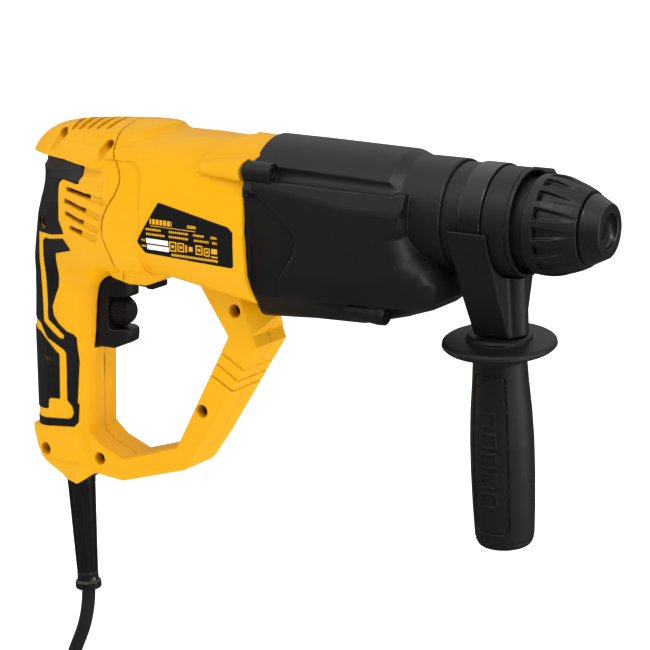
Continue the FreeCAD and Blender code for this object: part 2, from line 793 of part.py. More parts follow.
def reverse_lever():
    hub = cylinder_z(4, LEVER_X, 0, -60.2, -57.1)
    arm = block(LEVER_X, -271.5, -3.2, 3.2, -60.2, -57.3)
    tab = block(-274.5, -270, -7, 7, -60.4, -56.2)
    return fused([hub, arm, tab])


def lock_button():
    return cylinder_y(LOCK_BUTTON_R, *LOCK_BUTTON, 14.2, 21.0)


def switch_body():
    return block(-343, -321.5, -11, 11, -96, -58)


def cable_clamp():
    bar = block(-341, -315, -9, 9, -148, -142)
    return bar.cut(cylinder_z(4.1, -330, 0, -150, -140)).cut(block(-341, -315, -0.4, 0.4, -149, -141))


# ---------------------------------------------------------------- mains lead


def boot_direction():
    return (BOOT_TIP - BOOT_TOP).normalize()


def cord_boot():
    """The tapered bend relief, with its retaining collar inside the foot."""
    length = (BOOT_TIP - BOOT_TOP).Length
    profile = [(-9, 8.2), (-6, 9.3), (-2, 9.3), (-2, 8.25), (2, 8.25)]
    profile += [(length - 7, 6.2), (length - 5, 7.5), (length - 1, 7.5), (length, 6.8)]
    body = turned_along(profile, BOOT_TOP, boot_direction())
    return body.cut(turned_along([(-20, 4.05), (length + 5, 4.05)], BOOT_TOP, boot_direction()))


def cord_tube():
    """The free lead down to its coil: each bend is as large as its two runs allow."""
    radii = [0.0] * len(CORD_ROUTE)
    for i in range(1, len(CORD_ROUTE) - 1):
        back = CORD_ROUTE[i - 1] - CORD_ROUTE[i]
        ahead = CORD_ROUTE[i + 1] - CORD_ROUTE[i]
        half_turn = (math.pi - back.getAngle(ahead)) / 2
        radii[i] = 0.45 * min(back.Length, ahead.Length) / math.tan(half_turn)
    path = rounded_path(CORD_ROUTE, radii, False)
    start = (CORD_ROUTE[1] - CORD_ROUTE[0]).normalize()
    profile = Part.Wire(Part.makeCircle(CORD_D / 2, CORD_ROUTE[0], start))
    tube = path.makePipeShell([profile], True, False)
    print("cord radii", [round(r, 1) for r in radii[1:-1]], "length", round(path.Length, 1))
    return tube


def cord_coil():
    """The outer shape of the wound turns: a thick ring, standing in the XZ plane."""
    x, z = COIL_CENTRE.x, COIL_CENTRE.z
    outer = cylinder_y(COIL_MID_R + COIL_HALF_RADIAL, x, z, -COIL_HALF_WIDTH, COIL_HALF_WIDTH)
    inner = cylinder_y(COIL_MID_R - COIL_HALF_RADIAL, x, z, -30, 30)
    return outer.cut(inner)


def coil_tie():
    """A strap round the turns at the coil's upper right."""
    low = COIL_MID_R - COIL_HALF_RADIAL
    high = COIL_MID_R + COIL_HALF_RADIAL
    wide = COIL_HALF_WIDTH
    strap = block(-6, 6, -wide - 1.6, wide + 1.6, low - 1.6, high + 1.6)
    strap = strap.cut(block(-7, 7, -wide - 0.1, wide + 0.1, low - 0.9, high + 0.2))
    strap.rotate(V(0, 0, 0), V(0, 1, 0), 45)
    strap.translate(COIL_CENTRE)
    return strap


def cord_tail():
    x = COIL_CENTRE.x + COIL_MID_R
    return cylinder_z(CORD_D / 2, x, 0, PLUG_TOP_Z, COIL_CENTRE.z - 30)


def mains_plug():
    """A two-pin plug body with a moulded bend relief."""
    x = COIL_CENTRE.x + COIL_MID_R
    relief = turned_along([(0, 5.2), (14, 7.5), (16, 7.5)], V(x, 0, PLUG_TOP_Z), V(0, 0, -1))
    rows = [(-12, 10, 7.5, 6), (-24, 17, 10, 8), (-38, 18, 12.5, 9), (-43, 18, 12.5, 9)]
    body = loft([(V(x, 0, PLUG_TOP_Z + z), RIGHT, a, w, c) for z, a, w, c in rows])
    return fused([relief, body])


def plug_pins():
    x = COIL_CENTRE.x + COIL_MID_R
    top = PLUG_TOP_Z - 43
    pins = []
    for side in (-9.5, 9.5):
        pins.append(turned_along([(0, 2.4), (18, 2.4), (19, 1.6)], V(x + side, 0, top), V(0, 0, -1)))
    return Part.makeCompound(pins)


def counter_gear():
    tooth_at = math.pi / 2 + math.pi / COUNTER_GEAR_TEETH
    wheel = gear(COUNTER_GEAR_TEETH, -182.5, -176, COUNTER_Z, tooth_at, 0.5, 1.25)
    return wheel.cut(cylinder_x(COUNTER_R, -190, -170, 0, COUNTER_Z))


def spindle_gear():
    tooth_at = -math.pi / 2 + math.pi / SPINDLE_TEETH
    wheel = gear(SPINDLE_TEETH, -116, -108, 0, tooth_at, 0.75, 1.25)
    return wheel.cut(cylinder_x(SPINDLE_R, -120, -100))


# ---------------------------------------------------------------- the nodes, by group

SPINDLE_NODES = {
    "dust_cap": dust_cap,
    "spindle_tube": spindle_tube,
    "locking_ball": locking_ball,
    "chuck_sleeve": chuck_sleeve,
    "sleeve_spring": lambda: helix_spring(13.2, 0.8, 10.6, 4, V(COLLAR_FRONT, 0, 0), V(1, 0, 0)),
    "spindle_gear": spindle_gear,
    "slip_clutch": lambda: ring_x(23, SPINDLE_R, -130, -117),
    "spindle_bearings": lambda: Part.makeCompound([
        bearing(25, SPINDLE_R + RUNNING_GAP, -95, -85, 0),
        bearing(21, SPINDLE_R + RUNNING_GAP, -141, -133, 0),
    ]),
    "oil_seal": lambda: ring_x(18, 15 + RUNNING_GAP, -58, -52),
}
IMPACT_NODES = {
    "piston": piston,
    "striker": striker,
    "impact_bolt": impact_bolt,
    "wobble_ring": wobble_ring,
    "wobble_hub": wobble_hub,
    "countershaft": countershaft,
    "countershaft_gear": counter_gear,
    "countershaft_bearings": lambda: Part.makeCompound([
        bearing(9, 4 + RUNNING_GAP, -194, -188, COUNTER_Z),
        bearing(9, 4 + RUNNING_GAP, -101, -95, COUNTER_Z),
    ]),
}
MOTOR_NODES = {
    "armature_shaft": armature_shaft,
    "armature_core": armature_core,
    "armature_windings": armature_windings,
    "commutator": commutator,
    "cooling_fan": cooling_fan,
    "armature_bearings": lambda: Part.makeCompound([
        bearing(12, 4 + RUNNING_GAP, -196, -188, MOTOR_Z),
        bearing(9, 4 + RUNNING_GAP, -303.5, -297, MOTOR_Z),
    ]),
    "stator_core": stator_core,
    "field_coils": field_coils,
    "brush_holder_ring": brush_holder_ring,
    "carbon_brushes": carbon_brushes,
    "brush_springs": brush_springs,
    "bearing_plate": bearing_plate,
}
HOUSING_NODES = {
    "gear_housing": gear_housing,
    "gear_case_screws": lambda: Part.makeCompound([case_screw(*row[:3]) for row in CASE_SCREWS]),
    "collar": collar,
    "collar_lug": collar_lug,
    "mode_knob": mode_knob,
    "knob_button": knob_button,
    "motor_housing": motor_housing,
    "nameplate": nameplate,
    "grip_cover_right": lambda: grip_cover(-1),
    "grip_cover_left": lambda: grip_cover(1),
    "handle_screws": lambda: Part.makeCompound([handle_screw(*row) for row in HANDLE_SCREWS]),
    "trigger": trigger,
    "trigger_spring": lambda: helix_spring(4, 0.5, 10.3, 6, V(-321.4, 0, -78), V(1, 0, 0)),
    "speed_dial": speed_dial,
    "reverse_lever": reverse_lever,
    "lock_button": lock_button,
    "switch_body": switch_body,
    "cable_clamp": cable_clamp,
}
SIDE_HANDLE_NODES = {
    "handle_band": handle_band,
    "handle_bracket": handle_bracket,
    "handle_bolt": handle_bolt,
    "side_grip": side_grip,
}
LEAD_NODES = {
    "cord_boot": cord_boot,
    "power_cord": cord_tube,
    "cord_coil": cord_coil,
    "coil_tie": coil_tie,
    "cord_tail": cord_tail,
    "mains_plug": mains_plug,
    "plug_pins": plug_pins,
}


def save(name, shape):
    """Writes one node, moved so that the origin is the grip's centre."""
    moved = shape.copy()
    moved.translate(V(0, 0, 0) - GRIP_CENTRE)
    if not moved.isValid():
        print("not valid:", name)
    moved.exportStep("parts/" + name + ".step")


def main():
    os.makedirs("parts", exist_ok=True)
    for group in (SPINDLE_NODES, IMPACT_NODES, MOTOR_NODES, HOUSING_NODES, SIDE_HANDLE_NODES, LEAD_NODES):
        for name, make in group.items():
            save(name, make())
    shell = shell_whole()
    save("handle_shell_right", half_of(shell, -1))
    save("handle_shell_left", half_of(shell, 1))


if __name__ == "__main__":
    main()
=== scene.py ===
import bpy
import math
import numpy as np
import openvdb
from mathutils import Matrix, Vector


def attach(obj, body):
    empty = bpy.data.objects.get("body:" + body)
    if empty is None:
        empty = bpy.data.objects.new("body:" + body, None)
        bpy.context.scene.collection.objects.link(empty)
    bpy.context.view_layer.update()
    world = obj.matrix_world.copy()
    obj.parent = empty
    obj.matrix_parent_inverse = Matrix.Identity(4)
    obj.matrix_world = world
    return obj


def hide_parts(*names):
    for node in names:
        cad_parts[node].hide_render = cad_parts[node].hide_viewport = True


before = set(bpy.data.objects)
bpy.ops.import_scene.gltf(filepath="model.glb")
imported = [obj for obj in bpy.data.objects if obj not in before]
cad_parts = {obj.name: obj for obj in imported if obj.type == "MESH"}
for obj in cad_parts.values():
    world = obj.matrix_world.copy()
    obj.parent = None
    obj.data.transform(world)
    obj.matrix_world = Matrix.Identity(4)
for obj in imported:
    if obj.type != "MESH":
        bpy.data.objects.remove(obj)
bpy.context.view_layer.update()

# Stations are in millimetres from the front face of the dust cap, with the spindle axis at y = z = 0.
# The frame's origin is the rear grip's centre, so a station is moved by this much and turned into metres.
GRIP_CENTRE = np.array([-330.0, 0.0, -105.0])


def metres(x, y, z):
    """A station in millimetres as a point of the frame."""
    return tuple((np.array([x, y, z]) - GRIP_CENTRE) / 1000)


def linked(name, data):
    """A new object of the scene, which holds this data."""
    thing = bpy.data.objects.new(name, data)
    bpy.context.collection.objects.link(thing)
    return thing


# ---------------- camera


def make_camera():
    """The viewing angle: 31.5 degrees round from the tool's right side, 13.8 degrees above it."""
    azimuth, elevation = math.radians(31.5), math.radians(13.8)
    right = Vector((math.cos(azimuth), math.sin(azimuth), 0))
    level = math.cos(elevation)
    back = Vector((math.sin(azimuth) * level, -math.cos(azimuth) * level, math.sin(elevation)))
    up = back.cross(right)
    place = right * -0.1392 + up * -0.0456 + back * 1.122 - Vector(GRIP_CENTRE / 1000)
    data = bpy.data.cameras.new("camera")
    data.lens = 127.4
    data.sensor_width = 36
    data.clip_start = 0.01
    camera = linked("camera", data)
    camera.matrix_world = Matrix((
        (right.x, up.x, back.x, place.x),
        (right.y, up.y, back.y, place.y),
        (right.z, up.z, back.z, place.z),
        (0, 0, 0, 1),
    ))
    bpy.context.scene.camera = camera


make_camera()


# ---------------- materials


def material(name, colour, roughness, grain=0.0, grain_size=0.4, mottle=0.06, metallic=0.0, specular=0.5):
    """A moulded or metal surface: mottled colour, uneven roughness, and a fine grain in its bump."""
    mat = bpy.data.materials.new(name)
    mat.use_nodes = True
    nodes, links = mat.node_tree.nodes, mat.node_tree.links
    shader = nodes["Principled BSDF"]
    shader.inputs["Metallic"].default_value = metallic
    shader.inputs["Specular IOR Level"].default_value = specular

    def new_node(kind, **settings):
        node = nodes.new(kind)
        for key, value in settings.items():
            node.inputs[key.replace("_", " ")].default_value = value
        return node

    place = nodes.new("ShaderNodeTexCoord")
    cloud = new_node("ShaderNodeTexNoise", Scale=28, Detail=4)
    ramp = nodes.new("ShaderNodeValToRGB")
    for element, position, tone in zip(ramp.color_ramp.elements, (0.3, 0.7), (1 - mottle, 1 + mottle)):
        element.position = position
        element.color = (*[min(1, c * tone) for c in colour], 1)
    fine = new_node("ShaderNodeTexNoise", Scale=1000 / grain_size / 2.2, Detail=2)
    rough = new_node("ShaderNodeMapRange", To_Min=roughness - 0.05, To_Max=roughness + 0.05)
    bump = new_node("ShaderNodeBump", Strength=grain, Distance=0.00012)
    links.new(place.outputs["Object"], cloud.inputs["Vector"])
    links.new(cloud.outputs["Fac"], ramp.inputs["Fac"])
    links.new(ramp.outputs["Color"], shader.inputs["Base Color"])
    links.new(place.outputs["Object"], fine.inputs["Vector"])
    links.new(fine.outputs["Fac"], rough.inputs["Value"])
    links.new(rough.outputs["Result"], shader.inputs["Roughness"])
    links.new(fine.outputs["Fac"], bump.inputs["Height"])
    links.new(bump.outputs["Normal"], shader.inputs["Normal"])
    return mat


YELLOW = material("yellow_moulding", (0.635, 0.305, 0.0004), 0.40, grain=0.07, grain_size=0.5,
                  mottle=0.012, specular=0.12)
BLACK = material("black_moulding", (0.0055, 0.0055, 0.0058), 0.42, grain=0.5, grain_size=0.45,
                 mottle=0.10, specular=0.27)
RUBBER = material("soft_rubber", (0.0055, 0.0055, 0.0057), 0.46, grain=0.3, grain_size=0.6, mottle=0.12,
                  specular=0.27)
SATIN_BLACK = material("satin_black", (0.005, 0.005, 0.0052), 0.25, grain=0.05, grain_size=0.7,
                       mottle=0.08, specular=0.4)
GLOSS_BLACK = material("gloss_black", (0.005, 0.005, 0.0053), 0.15, grain=0.04, grain_size=1.0, mottle=0.08)
SHEATH = material("cord_sheath", (0.008, 0.008, 0.0085), 0.30, grain=0.15, grain_size=0.8, mottle=0.1)
DARK_STEEL = material("dark_steel", (0.10, 0.10, 0.105), 0.34, grain=0.15, grain_size=0.3, metallic=1.0)
STEEL = material("ground_steel", (0.56, 0.56, 0.57), 0.28, grain=0.12, grain_size=0.25, metallic=1.0)
LAMINATED = material("laminated_steel", (0.30, 0.30, 0.31), 0.42, grain=0.5, grain_size=0.5, metallic=1.0)
COPPER = material("enamelled_copper", (0.60, 0.24, 0.11), 0.32, grain=0.6, grain_size=0.8, metallic=0.9)
BRASS = material("plated_brass", (0.75, 0.62, 0.36), 0.25, grain=0.1, grain_size=0.4, metallic=1.0)
CARBON = material("sintered_carbon", (0.03, 0.03, 0.031), 0.62, grain=0.6, grain_size=0.3)
CAST = material("cast_aluminium", (0.60, 0.60, 0.62), 0.46, grain=0.4, grain_size=0.5, metallic=1.0)
WHITE = material("white_print", (0.80, 0.80, 0.80), 0.5, grain=0.05, grain_size=1.0, mottle=0.02)
FLOOR = material("pale_floor", (0.96, 0.96, 0.96), 0.8, grain=0.05, grain_size=2.0, mottle=0.01)
RED = material("red_plastic", (0.50, 0.02, 0.012), 0.35, grain=0.1, grain_size=0.5)

# ---------------- signed distance forms
# Each form is a function of x, y and z in millimetres, negative inside, and works on arrays of any shape.


def both(a, b, r=0.0):
    """Where both forms are, with a rounded edge of radius r."""
    if np.ndim(r) == 0 and r <= 0:
        return np.maximum(a, b)
    u, v = np.maximum(a + r, 0), np.maximum(b + r, 0)
    return np.minimum(np.maximum(a, b), -r) + np.sqrt(u * u + v * v)


def join(a, b, r=0.0):
    """Where either form is, with a fillet of radius r between them."""
    return -both(-a, -b, r)


def carve(a, b, r=0.0):
    """The first form less the second, with a rounded edge of radius r."""
    return both(a, -b, r)


def blend(a, b, k):
    """A soft union that swells the junction over about k millimetres."""
    h = np.clip(0.5 + 0.5 * (b - a) / k, 0, 1)
    return b + (a - b) * h - k * h * (1 - h)


def length(u, v):
    """The distance of (u, v) from the origin."""
    return np.sqrt(u * u + v * v)


def beside(u, v, line):
    """How far a point lies along a line (u0, v0, u1, v1) and to its side, and the line's own length."""
    u0, v0, u1, v1 = line
    du, dv = u1 - u0, v1 - v0
    size = math.hypot(du, dv)
    return ((u - u0) * du + (v - v0) * dv) / size, ((v - v0) * du - (u - u0) * dv) / size, size


def folded(u, pitch):
    """How far u is from the nearest multiple of the pitch."""
    return np.mod(u + pitch / 2, pitch) - pitch / 2


def bars(u, pitch, half):
    """Negative in bars of this half width, one at every multiple of the pitch."""
    return abs(folded(u, pitch)) - half


def polygon(u, v, points):
    """Exact signed distance to a closed outline."""
    u, v = np.broadcast_arrays(u, v)
    nearest = np.full(u.shape, 1e9)
    sign = np.ones(u.shape)
    for (ax, ay), (bx, by) in zip(points, points[-1:] + points[:-1]):
        ex, ey = bx - ax, by - ay
        wx, wy = u - ax, v - ay
        along = np.clip((wx * ex + wy * ey) / (ex * ex + ey * ey), 0, 1)
        nearest = np.minimum(nearest, (wx - ex * along) ** 2 + (wy - ey * along) ** 2)
        above, below, left = v >= ay, v < by, ex * wy > ey * wx
        flip = (above & below & left) | (~above & ~below & ~left)
        sign = np.where(flip, -sign, sign)
    return sign * np.sqrt(nearest)


def inset(points, r):
    """An outline moved inwards by r, so that its distance less r has round outer corners."""
    area = sum(ax * by - bx * ay for (ax, ay), (bx, by) in zip(points, points[1:] + points[:1]))
    turn = 1 if area > 0 else -1
    moved = []
    for (px, py), (x, y), (nx, ny) in zip(points[-1:] + points[:-1], points, points[1:] + points[:1]):
        ax, ay = x - px, y - py
        bx, by = nx - x, ny - y
        la, lb = math.hypot(ax, ay), math.hypot(bx, by)
        n1 = (-ay / la * turn, ax / la * turn)
        n2 = (-by / lb * turn, bx / lb * turn)
        scale = r / (1 + n1[0] * n2[0] + n1[1] * n2[1])
        moved.append((x + (n1[0] + n2[0]) * scale, y + (n1[1] + n2[1]) * scale))
    return moved


def rounded(u, v, points, r):
    return polygon(u, v, inset(points, r)) - r


def curve(stations, values, soft=4.0):
    """A smooth function through stations: straight runs, then averaged over soft millimetres."""
    fine = np.arange(min(stations) - 40, max(stations) + 40, 0.5)
    order = np.argsort(stations)
    line = np.interp(fine, np.array(stations)[order], np.array(values)[order])
    width = max(1, int(soft / 0.5)) | 1
    kernel = np.ones(width) / width
    for _ in range(2):
        line = np.convolve(np.pad(line, width // 2, mode="edge"), kernel, mode="valid")
    return lambda t: np.interp(t, fine, line)


def capsule(x, y, z, start, end, r0, r1=None):
    """A round bar from start to end, which may taper."""
    r1 = r0 if r1 is None else r1
    ex, ey, ez = (b - a for a, b in zip(start, end))
    wx, wy, wz = x - start[0], y - start[1], z - start[2]
    t = np.clip((wx * ex + wy * ey + wz * ez) / (ex * ex + ey * ey + ez * ez), 0, 1)
    return np.sqrt((wx - ex * t) ** 2 + (wy - ey * t) ** 2 + (wz - ez * t) ** 2) - (r0 + (r1 - r0) * t)


def block(x, y, z, low, high, r=0.0):
    """A box with edges of radius r."""
    parts = [abs(v - (a + b) / 2) - (b - a) / 2 + r for v, a, b in zip((x, y, z), low, high)]
    outside = np.sqrt(sum(np.maximum(p, 0) ** 2 for p in parts))
    return outside + np.minimum(np.maximum(np.maximum(parts[0], parts[1]), parts[2]), 0) - r


HANDLE_X = -62.6
HANDLE_SWING = 5.5


def swing(y, z):
    """Coordinates in the side handle's own upright frame."""
    turn = math.radians(HANDLE_SWING)
    return y * math.cos(turn) + z * math.sin(turn), -y * math.sin(turn) + z * math.cos(turn)


# ---------------- meshes from forms

COARSE = 1.0
STEP = 0.04


def slope(form, points):
    """The form's gradient at each point."""
    x, y, z = points.T
    dx = form(x + STEP, y, z) - form(x - STEP, y, z)
    dy = form(x, y + STEP, z) - form(x, y - STEP, z)
    dz = form(x, y, z + STEP) - form(x, y, z - STEP)
    return np.stack([dx, dy, dz], 1) / (2 * STEP)


def finished(name, mesh, mat, body, node):
    """Links a piece, gives it its material, hangs it on its body's empty, and hides the part of model.glb that it
    replaces.
    """
    piece = linked(name, mesh)
    mesh.materials.append(mat)
    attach(piece, body)
    if node:
        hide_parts(node)
    return piece


def formed(name, form, low, high, voxel, mat, body, node, slot_name):
    """Meshes a form inside a box, settles its points on the surface, and takes its normals from the form."""
    voxel = voxel * COARSE
    low = np.array(low, float) - 2 * voxel
    counts = np.ceil((np.array(high, float) + 2 * voxel - low) / voxel).astype(int) + 1
    axes = [low[i] + voxel * np.arange(counts[i]) for i in range(3)]
    values = np.empty(counts, np.float32)
    slab = max(1, int(1.5e6 / (counts[1] * counts[2])))
    for i in range(0, counts[0], slab):
        x = axes[0][i:i + slab].reshape(-1, 1, 1)
        values[i:i + slab] = form(x, axes[1].reshape(1, -1, 1), axes[2].reshape(1, 1, -1))
    grid = openvdb.FloatGrid(3 * voxel)
    grid.copyFromArray(np.clip(values, -3 * voxel, 3 * voxel), tolerance=0.0)
    points, _, quads = grid.convertToPolygons(isovalue=0.0, adaptivity=0.0)
    points = points.astype(float) * voxel + low
    for _ in range(3):
        g = slope(form, points)
        size = np.maximum((g * g).sum(1), 0.1)
        move = np.clip(form(*points.T) / size, -0.35 * voxel, 0.35 * voxel)
        points -= move[:, None] * g
    mesh = bpy.data.meshes.new(name)
    mesh.from_pydata(((points - GRIP_CENTRE) / 1000).tolist(), [], quads.tolist())
    mesh.shade_smooth()
    normals = slope(form, points)
    normals /= np.maximum(np.linalg.norm(normals, axis=1), 1e-6)[:, None]
    mesh.normals_split_custom_set_from_vertices(normals.tolist())
    return finished(name, mesh, mat, body, node)


# ---------------- the mains lead

CORD_D = 8.0
CORD_ROUTE = [
    (-325.3, -246.5), (-325.8, -264.0), (-338.2, -291.0), (-347.5, -316.5), (-352.5, -343.0), (-352.0, -368.0),
    (-339.8, -389.2), (-318.5, -401.5), (-296.5, -402.4),
]
COIL_CENTRE = (-306.0, -446.5)
TAIL_X = COIL_CENTRE[0] + 44.0

# The turns, in winding order: each one's radius and its place across the coil.
COIL_TURNS = [
    (44.0, 0.0), (44.0, 8.8), (52.6, 8.8), (52.6, 0.0), (52.6, -8.8), (44.0, -8.8), (35.4, -8.8), (35.4, 0.0),
    (35.4, 8.8), (44.0, 17.4),
]


def coil_route(turns, per_turn=16):
    """Points along the wound turns, each one stepping to the next in its last third."""
    points = []
    for i in range(1, (len(turns) - 1) * per_turn + per_turn // 4 + 1):
        whole = i / per_turn
        k = min(int(whole), len(turns) - 1)
        following = min(k + 1, len(turns) - 1)
        t = min(1.0, max(0.0, (whole - k - 0.6) / 0.4))
        ease = t * t * (3 - 2 * t)
        r = turns[k][0] + (turns[following][0] - turns[k][0]) * ease
        y = turns[k][1] + (turns[following][1] - turns[k][1]) * ease
        angle = math.pi / 2 - 2 * math.pi * whole
        points.append((COIL_CENTRE[0] + r * math.cos(angle), y, COIL_CENTRE[1] + r * math.sin(angle)))
    return points


def make_cord():
    """The lead as one curve: down from the boot, round the wound turns, and out to the plug."""
    points = [(x, 0.0, z) for x, z in CORD_ROUTE] + coil_route(COIL_TURNS)
    points += [(TAIL_X + 1.5, 13.0, -462.0), (TAIL_X, 4.0, -480.0), (TAIL_X, 0.0, -491.5), (TAIL_X, 0.0, -500.0)]
    data = bpy.data.curves.new("mains_cord", "CURVE")
    data.dimensions = "3D"
    data.bevel_depth = CORD_D / 2000
    data.bevel_resolution = 7
    data.resolution_u = 6
    data.use_fill_caps = True
    spline = data.splines.new("NURBS")
    spline.points.add(len(points) - 1)
    for place, point in zip(spline.points, points):
        place.co = (*metres(*point), 1)
    spline.order_u = 3
    spline.use_endpoint_u = True
    piece = finished("mains_cord", data, SHEATH, "hammer", "")
    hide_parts("power_cord", "cord_coil", "cord_tail")
    return piece


# ---------------- chuck and collar


def turned(x, y, z, profile, r=0.0, centre_z=0.0):
    """A form turned about X, from a closed (x, radius) outline."""
    radius = length(y, z - centre_z)
    return rounded(x, radius, profile, r) if r else polygon(x, radius, profile)


def dust_cap(x, y, z):
    outline = [(-9.3, -3), (-9.3, 17.9), (-8.3, 17.9), (-1.2, 14.2), (0, 13.6), (0, -3)]
    body = turned(x, y, z, outline, 0.5)
    radius = length(y, z)
    dish = polygon(x, radius, [(1, -1), (1, 9.2), (-1.9, 8.5), (-3.3, 7.4), (-3.3, -1)])
    return carve(carve(body, dish, 0.5), radius - 5.65, 0.25)


def chuck_sleeve(x, y, z):
    """The rounded sleeve with sixteen long flutes that run out towards the nose."""
    outline = [
        (-29.8, 12), (-29.8, 22.8), (-36.9, 22.8), (-36.9, 24.4), (-36.2, 25.1), (-32, 25.4), (-28, 25.3),
        (-25, 24.9), (-22, 24.1), (-19, 23.0), (-16, 22.0), (-13, 20.8), (-9.9, 19.3), (-9.9, 12),
    ]
    radius = length(y, z)
    body = rounded(x, radius, outline, 0.45)
    surface = np.interp(x, [-33, -28, -22, -16, -9.9], [25.3, 25.3, 24.1, 22.0, 19.3])
    around = folded(np.arctan2(z, y), math.pi / 8)
    half = np.interp(x, [-31, -12], [3.1, 1.2])
    depth = np.interp(x, [-31, -22, -12], [2.1, 1.7, 0.0])
    across = abs(radius * np.sin(around)) - half
    groove = both(both(across, surface - depth - radius, 1.2), -31 - x, 0.4)
    return carve(body, groove, 0.7)


def inner_ring(x, y, z):
    """The recessed ring seen in the gap between the sleeve and the collar."""
    return turned(x, y, z, [(-50, 12), (-50, 22.5), (-36, 22.5), (-36, 12)], 0.3)


def collar(x, y, z):
    outline = [
        (-79.9, 18), (-79.9, 27.4), (-70.1, 27.5), (-70.1, 26.2), (-57.3, 26.2), (-57.3, 27.5), (-42.1, 27.4),
        (-42.1, 25.8), (-51, 25.8), (-51, 18),
    ]
    body = turned(x, y, z, outline, 0.45)
    return carve(body, both(abs(x + 44.6) - 0.35, 27.0 - length(y, z)), 0.12)


LUG_TURN = math.radians(42)


def collar_lug(x, y, z):
    """A short knurled tab on the collar's front edge."""
    up = y * math.sin(LUG_TURN) + z * math.cos(LUG_TURN)
    side = y * math.cos(LUG_TURN) - z * math.sin(LUG_TURN)
    body = block(x, side, up, (-51.0, -5.2, 26.4), (-38.5, 5.2, 29.8), 1.0)
    return carve(body, both(bars(side, 1.4, 0.3), 29.1 - up), 0.1)


# ---------------- gear case

CASE_HALF = 37.4
CASE_SIDE = [
    (-191, 40), (-103.6, 40), (-103.6, 32.2), (-98.4, 28.6), (-97.0, -8), (-93, -17), (-85.5, -24), (-82.6, -31),
    (-83.2, -41.5), (-91, -48.5), (-106, -54), (-127, -58.2), (-156, -59.4), (-191, -62.6),
]
PANEL = [
    (-185.5, 8.0), (-162.2, -11.2), (-159.3, -16.7), (-160.6, -22.7), (-170.1, -37.9), (-172.7, -52),
    (-152.8, -44.5), (-104.6, -39.6), (-102.0, -37.6), (-101.2, -33), (-99.6, 3.0), (-101, 22), (-186, 22),
]
REAR_TRIANGLE = [
    (-194, 6.5), (-183.4, 6.5), (-162.2, -11.2), (-159.3, -16.7), (-160.6, -22.7), (-170.1, -37.9), (-172.7, -52),
    (-194, -58),
]


def case_outside(x, y, z):
    """A round top over a box that is creased down each side and drawn in to a rounded chin in front."""
    wide = abs(y)
    radius = length(y, z)
    crease = np.interp(x, [-186, -99], [8.6, -2.7])
    facet = (wide - CASE_HALF) * 0.93 + (z - crease) * 0.37
    side = both(wide - CASE_HALF, facet)
    shelf = z - np.interp(x, [-192, -168, -135, -106, -97], [13.6, 13.2, 12.6, 12.8, 13.6])
    chamfer = (wide - CASE_HALF) * 0.80 - (z + 39.5) * 0.60
    chin = np.interp(x, [-125, -105], [7.0, 14.0])
    box = both(both(side, chamfer, chin), shelf, 0.8)
    facet_end = (x + 99.0) * 0.93 + (wide - 36.0) * 0.37
    box = np.where(z > 2, both(box, facet_end, 0.3), box)
    dome = both(radius - np.interp(x, [-190, -160, -108], [32.6, 32.3, 31.3]), -5 - z)
    shoulder = (x + 109.5) * 0.36 + (radius - 31.2) * 0.93
    shell = join(box, both(dome, shoulder, 0.3), 1.0)
    profile = rounded(x, z, CASE_SIDE, 2.5)
    soft = np.interp(x, [-125, -104], [2.2, 15.0]) * np.clip((6 - z) / 16, 0, 1) + 1.2
    return both(shell, profile, soft)


def gear_housing(x, y, z):
    wide = abs(y)
    radius = length(y, z)
    body = case_outside(x, y, z)
    # the side panel lies a little below the frame, and the triangle behind it lower still
    panel = both(rounded(x, z, PANEL, 1.5), 36.5 - wide - 1.2 * np.clip((x + 128) / 28, 0, 1))
    body = carve(body, panel, 0.7)
    crease_2 = np.interp(x, [-190, -163], [-12.4, -18.0])
    sunk = 34.4 - 0.09 * np.maximum(0, crease_2 - z) + 0.02 * np.maximum(0, z - crease_2)
    triangle = both(rounded(x, z, REAR_TRIANGLE, 2.0), sunk - wide)
    body = carve(body, both(triangle, -187.4 - x), 0.7)
    neck = turned(x, y, z, [(-110, 5), (-110, 28.9), (-80.4, 28.9), (-79.8, 28.3), (-79.8, 5)], 0.35)
    body = join(body, neck, 0.4)
    # long troughs in front of the upper screws, with the bosses that hold them
    body = carve(body, capsule(x, wide, z, (-190, 30.6, 18.2), (-106, 30.4, 16.4), 5.1, 4.6), 0.5)
    boss_outline = [(-190.6, -2), (-190.6, 5.6), (-174.6, 5.4), (-174.2, 5.0), (-174.2, -2)]
    body = join(body, turned(x, wide - 32.4, z, boss_outline, 0.5, 17.4), 0.6)
    body = carve(body, both(length(wide - 32.4, z - 17.4) - 4.2, -177.5 - x), 0.3)
    # lower screws: a pointed pocket below the side, and a tapering boss in it
    pocket = rounded(x, z, [(-160, -49.0), (-128, -46.2), (-96, -46.8), (-93, -49), (-104, -62), (-125, -70)], 1.0)
    floor = np.interp(x, [-160, -128, -104, -95], [33.5, 26.5, 23.5, 29.0])
    body = carve(body, both(pocket, floor - wide), 1.0)
    bolt = length(wide - 24.3, z + 50.5)
    taper = np.interp(x, [-160, -116, -111], [1.5, 6.2, 6.0])
    cone = both(bolt - taper, x + 111.6, 0.6)
    body = join(body, both(cone, -165 - x), 0.8)
    body = carve(body, both(bolt - 3.9, -115.5 - x, 0.2), 0.3)
    # the stepped gap where the case meets the motor housing
    gap = both(abs(x + 189.0) - 1.5, 35.0 - wide)
    body = carve(body, both(gap, z - 4, 0.2), 0.2)
    round_room = both(radius - np.where(x > -118, 28.1, 27.0), abs(x + 150) - 43)
    square_room = block(x, wide, z, (-194, -5, -42), (-118, 29.2, 8), 5.0)
    body = both(body, -join(join(round_room, square_room), both(radius - 20, -150 - x)))
    return both(body, -191.4 - x, 0.3)


